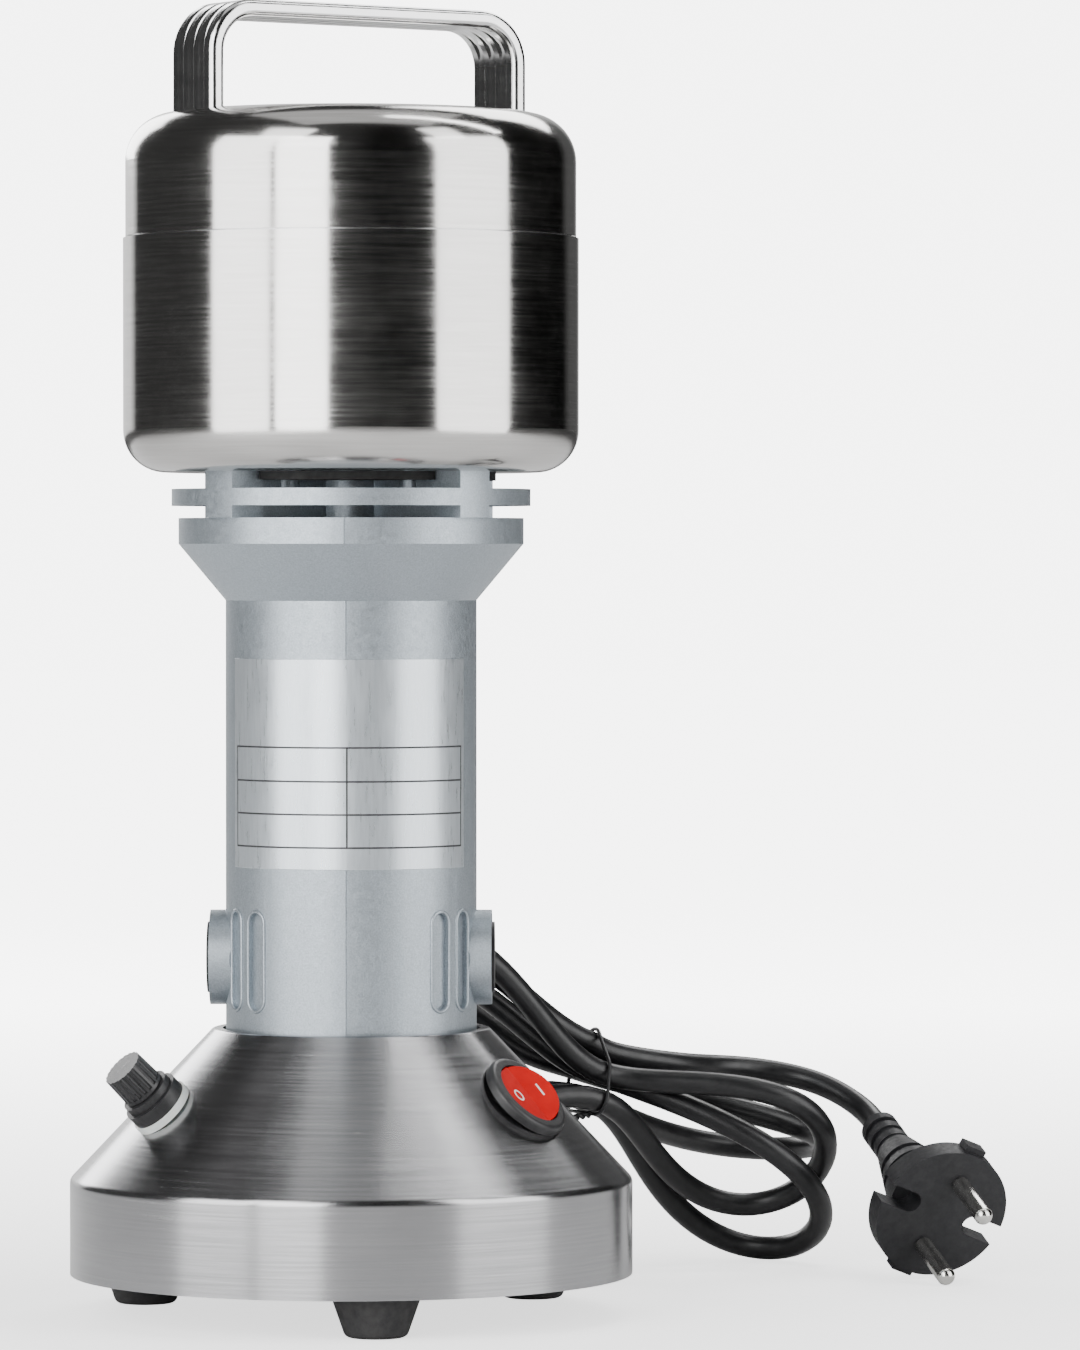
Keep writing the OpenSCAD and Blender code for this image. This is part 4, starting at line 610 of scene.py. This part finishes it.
def on_cone(azimuth, up):
    """Frame on the cone: its third axis points outward and its second axis up the slope."""
    turn = Matrix.Rotation(azimuth, 4, "Z")
    shift = Matrix.Translation((0, -BASE_R + up * CONE_NZ, Z_EDGE + up * CONE_NR))
    tilt = Matrix.Rotation(math.acos(CONE_NZ), 4, "X")
    return turn @ shift @ tilt


def flat_ring(bm, place, outer, inner, low, high, squeeze, steps=40):
    """Flat ring round the Z axis, made narrower along X."""
    turns = [2 * math.pi * i / steps for i in range(steps)]
    loops = []
    for r, z in ((inner, low), (outer, low), (outer, high), (inner, high)):
        points = [Vector((r * squeeze * math.cos(a), r * math.sin(a), z)) for a in turns]
        loops.append([bm.verts.new(place @ p) for p in points])
    for a, b in zip(loops, loops[1:] + loops[:1]):
        for i in range(steps):
            n = (i + 1) % steps
            bm.faces.new((a[i], a[n], b[n], b[i]))


def block(bm, place, size, bevel):
    """Block about its middle, with softened edges."""
    made = bmesh.ops.create_cube(bm, size=1.0, matrix=place @ Matrix.Diagonal((*size, 1)))
    edges = [e for e in bm.edges if all(v in made["verts"] for v in e.verts)]
    bmesh.ops.bevel(bm, geom=edges, offset=bevel, segments=2, affect="EDGES")


def make_marks():
    """Off and on marks moulded into the two halves of the rocker."""
    rest = Matrix.Rotation(-ROCK_A, 4, "Y")
    pivot = on_cone(SWITCH_AZ, SWITCH_UP) @ Matrix.Translation((0, 0, ROCKER_PIVOT)) @ rest
    crease = pivot @ Matrix.Translation((0, 0, ROCKER_CROWN))
    off, on = [
        crease @ Matrix.Rotation(-side * ROCK_A, 4, "Y") @ Matrix.Translation((side * MARK_OUT, 0, 0))
        for side in (-1, 1)
    ]
    bm = bmesh.new()
    flat_ring(bm, off, OFF_OUTER, OFF_INNER, OFF_LOW, OFF_HIGH, OFF_SQUEEZE)
    block(bm, on, ON_SIZE, ON_BEVEL)
    add_piece("rocker_marks", bm, "rocker", white_ink)


make_marks()

# Studio: the white that the eye sees, and how the floor glows up to it with the distance from the object.
WHITE = 6.0
FLOOR_R, FLOOR_SIDES = 9.0, 96
GLOW_REACH, GLOW_SPAN = (0.1, 1.2), (1.6, WHITE)


def white_material():
    """White floor that grows as bright as the surroundings, so that its rim hardly shows."""
    mat = Mat("studio_white", Roughness=0.9, Emission_Color=(1.0, 1.0, 1.0, 1.0))
    mat.tint(mat.noise(scale=3.0), (0.80, 0.80, 0.80), (0.82, 0.82, 0.82))
    x, y, _ = mat.axes()
    glow = mat.span(mat.length(x, y), GLOW_REACH, GLOW_SPAN)
    to_eye = mat.new("ShaderNodeLightPath").outputs["Is Camera Ray"]
    mat.feed("Emission Strength", mat.math("MULTIPLY", glow, to_eye))
    return mat.material


def make_stage():
    bm = bmesh.new()
    bmesh.ops.create_circle(bm, cap_ends=True, segments=FLOOR_SIDES, radius=FLOOR_R)
    floor = add_mesh("studio", bm, white_material())


make_stage()


def softbox(name, azimuth, distance, z, size, power, target_z=0.18):
    """Panel on the given bearing in degrees, facing a height on the column's axis. The eye doesn't see it."""
    data = bpy.data.lights.new(name, "AREA")
    data.shape = "RECTANGLE"
    data.size, data.size_y = size
    data.energy = power
    lamp = add_object(name, data)
    lamp.visible_camera = False
    lamp.location = around(math.radians(azimuth), distance, z)
    aim(lamp, Vector((0, 0, target_z)) - lamp.location)


softbox("left_inner", azimuth=-22.5, distance=1.3, z=0.42, size=(0.62, 1.3), power=15.5)
softbox("left_outer", azimuth=-54.5, distance=1.3, z=0.42, size=(0.76, 1.3), power=15.0)
softbox("right", azimuth=66.0, distance=1.3, z=0.42, size=(1.02, 1.3), power=16.5)
softbox("top_wide", azimuth=100.0, distance=0.04, z=1.05, size=(0.64, 0.7), power=0.9, target_z=0.0)
softbox("top_strip", azimuth=95.0, distance=0.46, z=1.0, size=(0.08, 0.7), power=1.4, target_z=0.0)
softbox("upper_left", azimuth=-36.0, distance=1.0, z=1.15, size=(0.5, 0.5), power=2.6, target_z=0.29)
softbox("upper_right", azimuth=58.0, distance=1.0, z=1.15, size=(0.36, 0.5), power=1.8, target_z=0.29)
softbox("rear_left", azimuth=-155.0, distance=1.5, z=0.73, size=(0.7, 0.7), power=9.0)
softbox("rear_right", azimuth=157.0, distance=1.2, z=1.2, size=(0.7, 0.7), power=9.0)

# Surroundings: how far round the wall behind starts, and where it fades out.
WALL_EDGE, WALL_GLOW = (0.74, 0.84), (0.05, 1.3)
FADE_EDGE, FADE = (-0.1, 0.25), (1.0, 0.08)


def make_world():
    """White to the eye; dark round the object but for a pale wall behind it, which fades out to the right."""
    world = bpy.data.worlds.new("studio_world")
    bpy.context.scene.world = world
    world.use_nodes = True
    sky = Shading(world.node_tree, "Generated")
    x, y, _ = sky.axes()
    wall = sky.math("MULTIPLY", sky.span(y, WALL_EDGE, WALL_GLOW), sky.span(x, FADE_EDGE, FADE))
    to_eye = sky.new("ShaderNodeLightPath").outputs["Is Camera Ray"]
    seen = sky.new("ShaderNodeMix")
    for key, value in (("Factor", to_eye), ("A", wall), ("B", WHITE)):
        sky.put(seen.inputs[key], value)
    background = world.node_tree.nodes["Background"]
    background.inputs["Color"].default_value = (1.0, 1.0, 1.0, 1)
    sky.put(background.inputs["Strength"], seen.outputs["Result"])


make_world()
